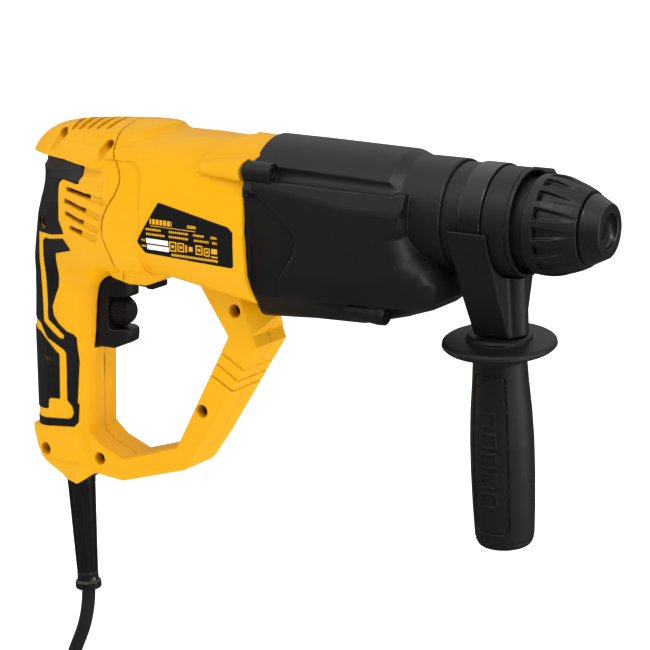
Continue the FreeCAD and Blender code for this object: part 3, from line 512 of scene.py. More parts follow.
def socket_head(x, u, v, front, r):
    """A round screw head about X, its front face with a six-sided socket at this x."""
    along = x - front
    head = both(both(length(u, v) - r, along, 0.7), -3.6 - along)
    hexagon = both(abs(u), both(abs(u * 0.5 + v * 0.866), abs(u * 0.5 - v * 0.866))) - 1.55
    return carve(head, both(hexagon, -1.8 - along), 0.12)


def case_screws(x, y, z):
    wide = abs(y)
    return join(socket_head(x, wide - 32.4, z - 17.4, -174.7, 3.9),
                socket_head(x, wide - 24.3, z + 50.5, -112.0, 3.7))


# ---------------- motor housing and rear shell

zt_barrel = curve([-290, -267, -236, -218.6, -190], [19.5, 20.1, 20.0, 16.5, 12.5], 3)
zl_barrel = curve([-290, -253, -224, -190], [3.0, 0.5, -3.2, -10.3], 3)
zb_barrel = curve([-320, -290, -277, -259, -236, -203, -187], [-36, -40, -42.5, -46.4, -49.8, -54.6, -57.0], 6)


def barrel(x, y, z):
    """The motor housing's creased octagonal body, deepening towards the gear case."""
    wide = abs(y)
    zt, zl, zb = zt_barrel(x), zl_barrel(x), zb_barrel(x)
    top = z - 29.0 + 0.0022 * y * y
    diagonal = (wide - 33.6) * 0.62 + (z - zt) * 0.785
    slope_in = (wide - 38.3) * 0.981 + (z - zl) * 0.196
    upper = both(both(top, diagonal, 7.0), slope_in, 5.0)
    return both(both(upper, wide - 38.6, 3.0), -(z - zb), 23)


zt_hood = curve(
    [-252, -255.5, -260, -266, -277, -299, -320, -331, -336, -341, -345.5, -348],
    [29.0, 31.0, 33.3, 34.2, 34.1, 32.6, 30.7, 28.3, 25.6, 21.6, 15.5, 10], 2.5)
w_hood = curve([-255, -275, -295, -315, -330, -340, -346, -349], [38.0, 36.9, 35.3, 31.3, 26.0, 19.5, 12.5, 6], 3)


def hood(x, y, z):
    """The overhanging top of the rear shell."""
    wide = abs(y)
    zt = zt_hood(x)
    top = z - zt + 6.4 * (wide / 25.0) ** 2
    cheek = (wide - w_hood(x)) * 0.774 + (z - 13.0) * 0.634
    cheek = both(cheek, wide - w_hood(x) - 0.4)
    over = both(top * 0.92, cheek, 1.6)
    ledge = np.interp(
        x, [-330, -310, -300, -290, -275, -265, -260, -257], [13.0, 12.6, 11.3, 10.3, 9.2, 8.9, 7.6, 4.8])
    over = both(over, ledge - z, 1.0)
    front = (x + 253.0 + 0.30 * (33 - z) * np.clip(z / 20, 0, 1) + 0.020 * y * y) * 0.8
    return both(over, front, 5.0)


w_core = curve(
    [-250, -262, -280, -300, -315, -325, -335, -345], [37.8, 37.8, 37.0, 33.2, 28.8, 24.6, 19.8, 14.0], 3)
back_z = [14, 8, 3.8, -2, -8.1, -21.4, -37.2, -60, -92, -150]
back_x = [-337.2, -334.2, -332.8, -333.2, -335.1, -341.3, -345.1, -349.4, -351.3, -351.2]
back_of = curve(back_z, back_x, 4)


def core_half(x, z):
    """Half the core's width: drawn in below the hood, and level with the motor housing lower down."""
    return w_core(x) - 1.6 * np.clip((z + 12) / 12, 0, 1) - 0.2 * np.maximum(z - 1, 0)


def core(x, y, z):
    """The narrower body of the rear shell below the hood."""
    low = curve([-350, -310, -290, -277, -259, -236], [-60, -54, -49.5, -48.5, -47.6, -46])(x)
    sides = both(abs(y) - core_half(x, z), low - z, 16)
    return both(both(sides, back_of(z) - x, 6), both(z - 20, x + 257))


front_of = curve(
    [-160, -144, -102, -97, -88, -80, -70, -60, -55, -50, -40, -10],
    [-310.3, -310.3, -309.6, -307.6, -306.4, -305.8, -305.2, -303.5, -299.5, -292, -280, -262], 4)
w_grip = curve([-165, -150, -140, -105, -68, -42, -22, 0], [17.2, 17.6, 17.9, 18.2, 18.8, 21.0, 23.5, 27], 6)


def grip(x, y, z):
    skin = both(both(abs(y) - w_grip(z), back_of(z) - x, 15), x - front_of(z), 11)
    return both(skin, both(z - 5, -165 - z))


STRUT = [
    (-236, -47), (-215.2, -77.9), (-251.2, -146.1), (-273.9, -154.0), (-288.3, -158.6), (-304, -152.5), (-312, -146),
    (-318, -142), (-330, -142), (-330, -168), (-318, -168), (-306, -170.6), (-288.6, -171.9), (-246.2, -158.7),
    (-243.2, -156.0), (-231.9, -139.5), (-196.9, -82), (-199.3, -75.9), (-189.2, -62.0), (-189.2, -48),
]
STRUT_GROOVES = [(-220.4, -86.9, -203.8, -96.1), (-224.1, -93.2, -207.7, -102.9), (-227.8, -100.0, -211.6, -109.0)]


def strut(x, y, z):
    """The flat-sided strut and bar that close the D."""
    wide = abs(y)
    half = np.interp(z, [-170, -150, -110, -60], [14.2, 14.2, 15.0, 16.2])
    outline = polygon(x, z, inset(STRUT, 0.8)) - 0.8
    body = both(outline, wide - half, 1.3)
    # the corner above the notch is planed off towards the outer side
    plane = (x + 199.5) * 0.72 + (z + 74.5) * 0.25 + (wide - 16.2) * 0.52 + 0.4
    body = carve(body, both(-plane, -76.5 - z), 0.3)
    for line in STRUT_GROOVES:
        _, off, _ = beside(x, z, line)
        body = carve(body, both(abs(off) - 0.45, -(body + 0.8)), 0.25)
    return body


FOOT = [
    (-351.3, -146), (-351.0, -150), (-349.3, -160), (-345.6, -167.4), (-339.4, -172.4), (-333.4, -179.4),
    (-325.0, -182.3), (-319.4, -176.6), (-311, -170.6), (-309, -168.5), (-309, -164), (-312, -154), (-314, -143),
]


def foot(x, y, z):
    """The block below the grip that takes the cable."""
    half = np.interp(z, [-183, -176, -170, -150], [10.5, 11.5, 15.6, 17.0])
    return both(rounded(x, z, FOOT, 1.5), abs(y) - half, 5.0)


def bulge(x, y, z):
    """The rounded step under the housing that carries the reverse lever."""
    outline = [
        (-290, -36), (-290, -53.0), (-277.5, -56.0), (-267.5, -55.6), (-257.4, -51.2), (-250.5, -46.5), (-246, -36),
    ]
    return both(rounded(x, z, outline, 3), abs(y) - 22.5 + 0.05 * (x + 262), 7.0)


def whole_shell(x, y, z):
    """The motor housing and the rear shell as one skin, before the joints between them."""
    upper = join(barrel_cut(x, y, z), core(x, y, z), 1.5)
    upper = join(upper, hood(x, y, z), 2.5)
    upper = join(upper, bulge(x, y, z), 2.0)
    return blend(upper, grip(x, y, z), 7.0)


def barrel_cut(x, y, z):
    """The motor housing's skin, with the shallow round-cornered recess that starts the rear shell."""
    body = both(barrel(x, y, z), -282 - x, 2)
    area = rounded(x, z, [(-300, 16), (-256, 16), (-256, -30), (-300, -30)], 8.0)
    return carve(body, both(area, core_half(x, z) - abs(y)), 0.8)


# the wavy joint between the motor housing and the rear shell
seam_z = [36, 32, 27.6, 21.6, 16.5, 11, 7.5, 3.9, -1.8, -8.6, -15.3, -21, -27.3, -32.5, -36.8, -46, -56]
seam_x = [
    -279.6, -279.4, -278.9, -277, -274.6, -272, -270.5, -270.3, -272.6, -277.3, -280.8, -282.3, -281.7,
    -279.1, -276.6, -277, -280,
]
seam_side = curve(seam_z, seam_x, 3)
SEAM_HALF = 0.30


def seam(x, z):
    """Positive in front of the joint."""
    return x - seam_side(z)


def motor_housing(x, y, z):
    wide = abs(y)
    body = whole_shell(x, y, z)
    flange_edge = x + 206.5 + 0.45 * wide
    flange = both(barrel(x, y, z) - 2.5, -flange_edge * 0.87, 1.6)
    flange = both(flange, 14 - z, 3.0)
    body = join(body, flange, 1.0)
    body = join(body, capsule(x, wide, z, (-192, 32.6, 18.0), (-216.0, 33.8, 17.1), 6.3, 3.2), 1.2)
    body = both(body, SEAM_HALF - seam(x, z), 0.25)
    front = curve(
        [40, 33, 29, 24, 19, 13, 6.5, -10.5, -34, -48, -53, -62],
        [-188.4, -188.4, -187.2, -189.0, -192.4, -192.6, -192.0, -190.6, -189.0, -188.2, -188.4, -188.4], 2)(z)
    body = both(body, x - front, 0.4)
    body = both(body, -both(barrel(x, y, z) + 3.2, -(x + 268)))
    for i in range(4):
        turn = math.radians(-60 - 14 * i)
        up = -y * math.sin(turn) + (z + 10) * math.cos(turn)
        aside = y * math.cos(turn) + (z + 10) * math.sin(turn)
        slot = both(both(abs(aside) - 1.4, abs(x + 199) - 4.5, 1.0), 28 - up)
        body = carve(body, slot, 0.4)
    # screw well in the bulge
    return carve(body, capsule(x, wide, z, (-272.4, 17.0, -48.2), (-280.5, 25.0, -45.6), 2.7, 1.8), 0.6)


# Screw wells: their place, how far out the skin is, and how deep the head sits
SCREWS = [
    (-210.3, -62.8, 16.2, 6.5), (-233.4, -122.4, 14.8, 6.0), (-304.4, -161.0, 14.2, 6.0),
    (-340.8, -160.0, 16.0, 6.0), (-333.0, -26.0, 21.8, 1.6), (-336.0, -103.0, 18.6, 1.6),
]
DRAWN_WELLS = [
    ((-282.0, 28.4, 21.8), (-285.0, 34.6, 16.6)),
    ((-319.4, 20.8, 24.4), (-322.6, 25.6, 17.6)),
]
TOP_GROOVES = [(-313.5, -321.6), (-308.4, -314.0), (-302.7, -305.9), (-296.5, -297.9), (-289.6, -290.2)]
SIDE_VENTS = [
    (-311.2, -4.1, -292.0, -6.4), (-312.6, -10.7, -295.3, -14.2), (-312.2, -17.6, -297.5, -21.2),
    (-308.5, -25.1, -298.8, -26.9),
]

MAIN_RUBBER = [
    (-296.8, 14), (-296.8, 1.2), (-297.6, -0.6), (-298.9, -1.1), (-313.2, 1), (-316.2, -1.0), (-317.2, -4.3),
    (-318.3, -22.4), (-313.9, -29.9), (-314.9, -32.1), (-307.9, -38), (-322.4, -42), (-326.2, -63), (-328.4, -67.4),
    (-331.3, -74.6), (-330.6, -79.8), (-327.4, -84.2), (-321.8, -88.1), (-316.8, -89.3), (-315.2, -91.0),
    (-314.8, -105.3), (-316.5, -129), (-315.6, -130.4), (-316.4, -140.8), (-319.0, -143.6), (-341.7, -146),
    (-375, -147.5), (-375, 14),
]
STRIPE_A = [
    (-300, -27), (-313.6, -29.7), (-325.5, -31.9), (-337.2, -31.6), (-338.6, -50), (-338.2, -71.6), (-337.9, -84),
    (-331.6, -89.6), (-326.9, -92.6), (-324.3, -92.6), (-323.7, -90.8), (-328.4, -87.2), (-334.7, -82.4),
    (-334.5, -71.2), (-334.2, -50), (-333.4, -36.0), (-330.9, -34.2), (-327.8, -34.6), (-314.9, -32.3),
    (-300, -34.5),
]
STRIPE_B = [
    (-375, -72), (-350, -82), (-340.7, -85.2), (-335.6, -93.6), (-324.2, -99.2), (-322.8, -101.2), (-323.2, -128.4),
    (-319.8, -131.6), (-318.9, -135.4), (-320.4, -138.4), (-323.4, -139.4), (-340.6, -141.0), (-375, -141.4),
    (-375, -135.6), (-341, -135.8), (-336.8, -135.2), (-336.4, -130.0), (-334.9, -128.8), (-328.4, -128.4),
    (-327.7, -102.2), (-331, -99.6), (-340.5, -90.5), (-350, -88), (-375, -80),
]


def rubber_map(x, z):
    """Negative where the soft cover lies, seen from the side."""
    main = rounded(x, z, MAIN_RUBBER, 0.5)
    gaps = join(polygon(x, z, STRIPE_A), polygon(x, z, STRIPE_B))
    return both(main, -gaps, 0.6)


def rear_shell(x, y, z):
    wide = abs(y)
    body = whole_shell(x, y, z)
    body = both(body, seam(x, z) + SEAM_HALF, 0.25)
    loop = join(strut(x, y, z), foot(x, y, z), 0.8)
    loop = both(loop, np.where(x > -242, -(barrel(x, y, z) - 0.25), -50.0))
    loop = both(loop, np.where(x > -193, -(case_outside(x, y, z) - 0.35), -50.0))
    body = np.where(x > -242, loop, join(body, loop, 1.0))
    skin = body
    # shallow grooves over the top
    for near, far in TOP_GROOVES:
        centre = near + (far - near) * (y + 17) / 25
        groove = both(both(abs(x - centre) - 1.6, abs(y + 4.5) - 14.5, 1.4), -(skin + 1.9), 0.3)
        body = carve(body, both(groove, 20.0 - z), 0.5)
    # vents in each side, which run on forwards as shallow grooves
    for line in SIDE_VENTS:
        along, off, size = beside(x, z, line)
        off = abs(off)
        dark = both(off - 1.25, abs(along - size / 2) - size / 2, 0.8)
        body = carve(body, both(dark, 20 - wide), 0.3)
        groove = both(off - 1.6, abs(along - size - 5) - 7.5, 1.2)
        body = carve(body, both(both(groove, -(skin + 1.1), 0.3), 15 - wide), 0.5)
    # screw wells: round ones in the loop and the grip, and drawn-out ones in the cap
    for sx, sz, half, deep in SCREWS:
        body = carve(body, both(length(x - sx, z - sz) - 3.6, y + half - deep - 1.5), 0.4)
    for start, end in DRAWN_WELLS:
        body = carve(body, capsule(x, wide, z, start, end, 3.6, 2.3), 0.6)
        body = carve(body, both(length(x - start[0], z - start[2]) - 2.9, start[1] - 7 - wide), 0.4)
    # the trigger's opening
    opening = rounded(x, z, [(-320, -56.2), (-297.0, -55.8), (-270, -56.0), (-270, -97.5), (-320, -97.5)], 4)
    body = carve(body, both(opening, wide - 10.6, 1.5), 0.8)
    body = carve(body, both(abs(y) - 0.22, -(skin + 0.7)), 0.25)
    return carve(body, capsule(x, y, z, (-329.2, 0, -168), (-325.0, 0, -190), 8.6), 0.4)


def rubber_cover(x, y, z):
    """The soft skin of the grip, with a patch of fine ribs where the palm sits."""
    wide = abs(y)
    body = whole_shell(x, y, z) - 0.45
    area = both(rubber_map(x, z), both(-147.0 - z, wide - 40))
    area = both(area, z - np.interp(x, [-330, -276], [12.6, 12.0]), 0.3)
    skin = both(body, area, 0.35)
    for sx, sz, _, _ in SCREWS[4:]:
        skin = carve(skin, both(length(x - sx, z - sz) - 3.4, y), 0.4)
    patch = both(abs(x + 333.1) - 3.6, abs(z + 117.5) - 9.5)
    ribs = both(bars(x + 335.6, 2.5, 0.35), patch)
    skin = join(skin, both(both(ribs, body - 0.45), skin - 1.2), 0.2)
    return both(skin, -(whole_shell(x, y, z) + 1.2))


def shell_screws(x, y, z):
    """The cross-headed screws at the bottom of the wells on the right side."""
    heads = 50.0
    for sx, sz, half, deep in SCREWS:
        front = y + half - deep
        radius = length(x - sx, z - sz)
        head = both(both(radius - 3.2, -front, 0.6), front - 2.2)
        cross = join(abs(x - sx), abs(z - sz)) - 0.45
        head = carve(head, both(both(cross, radius - 1.9), front - 1.2), 0.1)
        shank = both(radius - 1.7, both(-front - 0.1, y - 7.5))
        heads = join(heads, join(head, shank))
    return heads


def vent_shade_plate(x, y, z):
    """A black plate behind the side vents, standing in for the shade inside the hollow housing: painted shade."""
    wide = abs(y)
    plate = both(rounded(x, z, [(-318, 2), (-286, -1), (-290, -32), (-316, -32)], 2), wide - w_core(x) + 5.0)
    return both(plate, w_core(x) - 7.0 - wide, 0.2)


# ---------------- label

PLATE_RISE, MARK_RISE = 0.28, 0.42
PLATE = [(-243.6, -3.5), (-199.2, -12.4), (-196.2, -14.9), (-195.6, -33.9), (-252.8, -31.9), (-257.4, -25.7)]


def nameplate(x, y, z):
    outer = whole_shell(x, y, z)
    body = both(outer - PLATE_RISE, rounded(x, z, PLATE, 1.6), 0.15)
    return both(body, both(-(outer + 0.9), y))


def plate_marks(x, y, z, rows, pitch=0.0):
    """Raised plain bars on the plate, each from its left end, middle height, length and height."""
    outer = whole_shell(x, y, z)
    skin = both(both(outer - MARK_RISE, -(outer + 0.2)), y)
    marks = 9.0
    for start, middle, size, height in rows:
        aside = abs(x - start - size / 2) - size / 2
        across = abs(z - middle + 0.012 * (x - start)) - height / 2
        marks = join(marks, both(aside, across))
    if pitch:
        marks = both(marks, bars(x + pitch / 2, pitch, 0.37 * pitch))
    return both(skin, marks)


TITLE_MARKS = [(-248.6, -14.1, 14.2, 2.9)]
TEXT_MARKS = [
    (-224.5, -14.6, 5.4, 1.7), (-251.3, -18.4, 10.3, 1.2), (-236.4, -18.5, 12.6, 1.2), (-220.7, -18.7, 6.9, 1.2),
    (-209.6, -18.9, 3.8, 1.4), (-250.9, -21.0, 11.9, 1.2), (-236.4, -21.1, 12.6, 1.2), (-220.3, -21.4, 9.6, 1.2),
    (-208.8, -21.6, 3.1, 1.3), (-254.2, -24.6, 2.5, 1.1), (-254.2, -27.8, 2.9, 1.1), (-235.2, -30.7, 30.2, 1.4),
]
SYMBOL_MARKS = [(-248.2, -16.4, 29.1, 0.4), (-209.2, -29.0, 4.0, 0.8)]
for left, height, size in ((-236.0, -26.2, 4.6), (-230.6, -26.1, 4.2), (-219.1, -26.3, 4.4), (-213.9, -26.9, 3.8)):
    SYMBOL_MARKS += [
        (left, height + size / 2, size, 0.7), (left, height - size / 2, size, 0.7),
        (left + 1.3, height, size - 2.6, 1.6),
        (left, height, 0.7, size), (left + size - 0.7, height, 0.7, size),
    ]
SYMBOL_MARKS += [(-225.6, -26.4, 1.0, 4.0), (-223.4, -26.4, 2.4, 2.6), (-209.2, -26.0, 3.7, 2.8)]
WHITE_MARKS = [(-250.9, -24.7, 14.2, 2.6), (-250.5, -28.1, 14.2, 2.6)]


# ---------------- controls


DIAL_Z = -76.4
LEVER_X = -280
KNOB = (-150.0, -8.0)


def trigger(x, y, z):
    """The blade: a roof over the dial, a hollow for it, and the finger surface below."""
    wide = abs(y)
    outline = [
        (-312, -57.6), (-298, -56.9), (-290.5, -56.9), (-287.4, -59.6), (-287.2, -64.0), (-288.6, -70),
        (-288.6, -84), (-287.6, -89), (-289.2, -93.0), (-296, -96.6), (-312, -97.0),
    ]
    side = rounded(x, z, outline, 1.8)
    nose = x + 286.9 + 8.5 * (wide / 9.7) ** 2.6
    body = both(both(side, wide - 9.6, 1.6), nose, 1.5)
    return carve(body, both(abs(z - DIAL_Z) - 9.4, -299.8 - x, 2.5), 1.0)


def speed_dial(x, y, z):
    """The knurled wheel, coned towards its plain face."""
    outline = [
        (-299.3, -2), (-299.3, 7.6), (-298.8, 7.8), (-294.0, 7.5), (-290.6, 5.6), (-289.4, 5.0), (-289.4, -2),
    ]
    radius = length(y, z - DIAL_Z)
    body = rounded(x, radius, outline, 0.35)
    pitch = math.pi / 15
    across = abs(radius * np.sin(folded(np.arctan2(z - DIAL_Z, y) - pitch / 2, pitch))) - 0.40
    grow = np.interp(x, [-298.8, -294.0, -290.6], [8.7, 8.5, 6.4])
    ribs = both(both(across, radius - grow, 0.25), both(x + 290.5, -299.0 - x), 0.3)
    stem = both(radius - 3.9, both(x + 298, -304.8 - x))
    return join(join(body, stem), ribs, 0.2)


def reverse_lever(x, y, z):
    """The sideways lever: a hub, a flat arm, and a ribbed thumb tab."""
    hub = both(length(x - LEVER_X, y) - 4, abs(z + 58.7) - 1.5, 0.5)
    arm = block(x, y, z, (LEVER_X, -3.2, -60.2), (-271.5, 3.2, -57.3), 0.8)
    tab = block(x, y, z, (-275.2, -7.4, -60.4), (-269.8, 7.4, -56.2), 1.4)
    grooves = both(bars(y, 2.0, 0.35), -270.6 - x)
    return join(join(hub, arm, 1.0), carve(tab, grooves, 0.2), 1.2)


def lock_button(x, y, z):
    radius = length(x + 319, z + 84)
    dome = y - 21.0 + 0.03 * radius ** 2
    return both(both(radius - 4.9, dome, 0.8), 14.3 - y)


def mode_knob(x, y, z):
    radius = length(x - KNOB[0], z - KNOB[1])
    scallop = -0.175 * np.cos(np.arctan2(z - KNOB[1], x - KNOB[0]) * 24)
    disc = both(radius - 15.9 + scallop, both(y - 42.8, 38.5 - y), 0.9)
    bar = block(x, y, z, (-166, 42, -12), (-134, 48.7, -4), 3.0)
    body = join(disc, bar, 1.5)
    body = carve(body, both(length(x + 160, z + 8) - 3.15, 45.0 - y), 0.3)
    return carve(body, block(x, y, z, (-146, 48.2, -8.6), (-137, 60, -7.4), 0.3), 0.2)


def knob_button(x, y, z):
    radius = length(x + 160, z + 8)
    return both(both(radius - 2.95, y - 50.0 + 0.04 * radius ** 2, 0.6), 47.0 - y)


# ---------------- side handle


def handle_band(x, y, z):
    """The clamp strap, with its ears passing down into the bracket."""
    y, z = swing(y, z)
    radius = length(y, z)
    strap = turned(x, y, z, [(-69.8, 26.25), (-69.8, 28.5), (-57.6, 28.5), (-57.6, 26.25)], 0.35)
    ears = both(block(x, y, z, (-69.7, -7.9, -36), (-57.7, 7.9, -26), 0.8), 26.3 - radius)
    return join(strap, ears, 0.8)


def handle_bracket(x, y, z):
    """The yoke below the strap: two flat wings drawn in to the grip, with a round rib in front."""
    y, z = swing(y, z)
    wide = abs(y)
    radius = length(y, z)
    half = np.interp(z, [-60, -36, -22, -9, 0], [9.9, 19.5, 23.8, 28.9, 30.8])
    outline = both(wide - half, -60.0 - z, 1.2)
    middle = np.interp(z, [-60, -3], [-62.0, -64.0])
    body = both(both(outline, z - 0.4, 0.8), abs(x - middle) - np.interp(z, [-60, -3], [10.0, 10.9]), 0.9)
    rib = both(both(length(x + 54.8, y) - 8.2, z + 27, 2.0), -60.0 - z, 1.2)
    body = join(body, rib, 1.5)
    body = carve(body, radius - 28.75, 0.5)
    body = carve(body, both(both(abs(x + 63.7) - 6.4, wide - 8.4), -36.6 - z), 0.3)
    return carve(body, length(x - HANDLE_X, y) - 4.15)


GRIP_PROFILE = [
    (0.2, -1), (0.2, 15.6), (1.2, 16.9), (3.0, 17.0), (3.2, 28.0), (4.2, 29.4), (6.0, 29.8), (7.4, 28.4),
    (8.6, 23.0), (10.4, 15.0), (14.0, 14.0), (26, 14.7), (42, 16.0), (58, 16.7), (76, 16.8), (95, 16.4),
    (111.2, 15.7), (112.2, 15.1), (113.2, 15.3), (115.4, 14.2), (116.5, 11.8), (116.5, -1),
]


def side_grip(x, y, z):
    """The turned grip: guard flange, waist, barrel, and a long inset panel with raised bars on two sides."""
    y, z = swing(y, z)
    down = -60.3 - z
    radius = length(x - HANDLE_X, y)
    body = rounded(down, radius, GRIP_PROFILE, 0.5)
    skin = body
    arc = abs(np.arctan2(x - HANDLE_X, abs(y))) * 16.5
    edge = np.sqrt(np.maximum(arc - 6.6, 0) ** 2 + np.maximum(abs(down - 62.3) - 39.5, 0) ** 2) - 3.8
    body = carve(body, both(abs(edge) - 0.5, -(skin + 0.75)), 0.2)
    body = carve(body, both(edge + 0.4, -(skin + 0.3)), 0.1)
    for start in (38.5, 49.5, 60.5, 71.5, 82.5):
        outer = block(arc, 0.0, down, (-4.6, -1, start), (4.6, 1, start + 9.0), 0.6)
        inner = block(arc, 0.0, down, (-3.2, -1, start + 1.5), (3.2, 1, start + 7.5), 0.4)
        body = join(body, both(both(both(outer, -inner), skin - 0.25), -(skin + 2.0)))
    return carve(body, both(radius - 4.15, down - 50), 0.1)


# ---------------- cable


def cord_boot(x, y, z):
    """The tapered bend relief with its long flutes."""
    ax, az = 3.4 / 68.58, -68.5 / 68.58
    along = (x + 328.7) * ax + (z + 178.0) * az
    aside = (x + 328.7) * -az + (z + 178.0) * ax
    radius = length(aside, y)
    outline = [
        (-9, -2), (-9, 8.2), (-6, 9.2), (-2, 9.2), (-1.6, 8.3), (2, 8.25), (61.0, 6.2), (63.4, 6.4), (64.4, 7.6),
        (67.8, 7.7), (68.6, 7.0), (68.6, -2),
    ]
    body = rounded(along, radius, outline, 0.4)
    around = folded(np.arctan2(y, aside), math.pi / 5)
    surface = np.interp(along, [2, 61], [8.25, 6.2])
    flute = both(abs(radius * np.sin(around)) - 1.25, surface - 0.75 - radius, 0.3)
    flute = both(flute, abs(along - 32) - 27, 0.5)
    body = carve(body, flute, 0.35)
    return carve(body, radius - 4.05)


def plug_frame(x, z):
    return x - TAIL_X, -491.5 - z


def mains_plug(x, y, z):
    aside, down = plug_frame(x, z)
    radius = length(aside, y)
    relief = rounded(down, radius, [(0, 3.9), (0, 5.1), (14, 7.4), (18, 7.6), (18, 3.9)], 0.4)
    ridges = both(bars(down - 1.6, 3.2, 0.45), both(4.4 - radius, both(down - 13, 1.5 - down)))
    relief = carve(relief, ridges, 0.3)
    half_x = np.interp(down, [12, 17, 24, 36, 43], [9.5, 13.0, 16.6, 17.9, 17.8])
    half_y = np.interp(down, [12, 24, 38, 43], [7.4, 9.6, 12.3, 12.3])
    body = both(both(abs(aside) - half_x, abs(y) - half_y, 6.5), both(down - 43, 12 - down), 1.2)
    dish = both(length(aside, down - 31) - 7.0, half_y - 0.9 - abs(y))
    return join(relief, carve(body, dish, 0.5), 1.2)


def plug_pins(x, y, z):
    aside, down = plug_frame(x, z)
    radius = length(abs(aside) - 9.5, y)
    return both(radius - 2.4, both(down - 62, 43.0 - down), 0.8)


def coil_tie(x, y, z):
    """The ribbed strap round the turns."""
    dx, dz = x - COIL_CENTRE[0], z - COIL_CENTRE[1]
    out = (dx + dz) / math.sqrt(2)
    side = (dx - dz) / math.sqrt(2)
    outer = block(side, y, out, (-5.5, -18.6, 29.9), (5.5, 18.6, 58.1), 3.0)
    inner = block(side, y, out, (-9, -17.2, 31.2), (9, 17.2, 56.8), 2.6)
    body = carve(outer, inner, 0.3)
    return carve(body, both(bars(y, 1.5, 0.25), both(57.7 - out, abs(side) - 4.2)), 0.1)


# ---------------- the pieces

# Each piece: its name, form and box, the size of its facets, and its finish, body, node and slot.
CHUCK_AND_CASE = [
    ("dust_cap_rubber", dust_cap, (-10, -18.5, -18.5), (1, 18.5, 18.5), 0.45,
     SATIN_BLACK, "spindle", "dust_cap", "soft_rubber"),
    ("sleeve", chuck_sleeve, (-38, -26, -26), (-9, 26, 26), 0.45,
     BLACK, "chuck_sleeve", "chuck_sleeve", "black_plastic"),
    ("sleeve_skirt_ring", inner_ring, (-51, -24, -24), (-35, 24, 24), 0.8, RUBBER, "hammer", "", "soft_rubber"),
    ("front_collar", collar, (-81, -28, -28), (-41, 28, 28), 0.6, BLACK, "hammer", "collar", "black_plastic"),
    ("collar_tab", collar_lug, (-52, 0, 14), (-38, 28, 33), 0.3, BLACK, "hammer", "collar_lug", "black_plastic"),
    ("gear_case", gear_housing, (-194, -41, -66), (-79, 41, 34), 0.75,
     BLACK, "hammer", "gear_housing", "black_plastic"),
    ("case_screws", case_screws, (-180, -39, -55), (-111, 39, 22), 0.4,
     DARK_STEEL, "hammer", "gear_case_screws", "dark_steel"),
    ("motor_shell", motor_housing, (-290, -42, -62), (-180, 42, 36), 0.75,
     YELLOW, "hammer", "motor_housing", "yellow_plastic"),
]
CONTROLS_AND_HANDLE = [
    ("shell_screw_heads", shell_screws, (-345, -20, -165), (-206, 8, -22), 0.45,
     DARK_STEEL, "hammer", "handle_screws", "dark_steel"),
    # a black plate behind the side vents: painted shade where the housing's hollow inside would be dark
    ("vent_painted_shade_plate", vent_shade_plate, (-320, -34, -34), (-284, 34, 4), 0.8, BLACK, "hammer", "", "black_plastic"),
    ("trigger_blade", trigger, (-313, -12, -98),
    (-285, 12, -56), 0.4, BLACK, "trigger", "trigger", "black_plastic"),
    ("dial", speed_dial, (-306, -10, -86),
    (-288, 10, -67), 0.3, BLACK, "speed_dial", "speed_dial", "black_plastic"),
    ("reverse_slider", reverse_lever, (-284, -8, -62), (-264, 8, -55), 0.35,
     BLACK, "reverse_lever", "reverse_lever", "black_plastic"),
    ("lock_on_button", lock_button, (-325, 14, -90), (-313, 22, -78), 0.35,
     BLACK, "lock_button", "lock_button", "black_plastic"),
    ("selector_knob", mode_knob, (-167, 38, -25), (-133, 50, 9), 0.4,
     BLACK, "mode_knob", "mode_knob", "black_plastic"),
    ("selector_button", knob_button, (-164, 46, -12), (-156, 51, -4), 0.3,
     RED, "knob_button", "knob_button", "red_plastic"),
    ("clamp_strap", handle_band, (-71, -29, -37), (-56, 29, 30), 0.5,
     GLOSS_BLACK, "side_handle", "handle_band", "dark_steel"),
    ("clamp_bracket", handle_bracket, (-78, -37, -66), (-45, 40, 6), 0.55,
     BLACK, "side_handle", "handle_bracket", "black_plastic"),
    ("auxiliary_grip", side_grip, (-94, -30, -182), (-31, 42, -55), 0.6,
     RUBBER, "side_grip", "side_grip", "soft_rubber"),
    ("cable_boot", cord_boot, (-340, -10, -250), (-314, 10, -166), 0.4,
     GLOSS_BLACK, "hammer", "cord_boot", "gloss_black"),
]
# The label's marks: their name, rows, the pitch that breaks them up, facets, finish and slot.
MARKS = [
    ("plate_title", TITLE_MARKS, 2.4, 0.2, YELLOW, "yellow_plastic"),
    ("plate_text", TEXT_MARKS, 1.25, 0.2, YELLOW, "yellow_plastic"),
    ("plate_symbols", SYMBOL_MARKS, 0.0, 0.2, YELLOW, "yellow_plastic"),
    ("plate_boxes", WHITE_MARKS, 0.0, 0.22, WHITE, "label_film"),
]
SHELL_HALF_GAP = 0.02
COVER_HALF_GAP = 0.12


def build_pieces():
    for row in CHUCK_AND_CASE:
        formed(*row)
    for side, hand in ((-1, "right"), (1, "left")):
        formed("rear_shell_" + hand, lambda x, y, z: np.maximum(rear_shell(x, y, z), SHELL_HALF_GAP - y * side),
               (-356, min(0, 42 * side), -190), (-185, max(0, 42 * side), 38), 0.8,
               YELLOW, "hammer", "handle_shell_" + hand, "yellow_plastic")
        formed("grip_rubber_" + hand, lambda x, y, z: both(rubber_cover(x, y, z), COVER_HALF_GAP - y * side, 0.3),
               (-356, min(0, 30 * side), -148), (-294, max(0, 30 * side), 15), 0.55,
               RUBBER, "hammer", "grip_cover_" + hand, "soft_rubber")
    formed("plate", nameplate, (-259, -41, -36), (-194, -30, -2), 0.45,
           SATIN_BLACK, "hammer", "nameplate", "label_film")
    for name, rows, pitch, voxel, mat, slot_name in MARKS:
        formed(name, lambda x, y, z: plate_marks(x, y, z, rows, pitch), (-259, -41, -36), (-194, -34, -2), voxel,
               mat, "hammer", "", slot_name)
    for row in CONTROLS_AND_HANDLE:
        formed(*row)


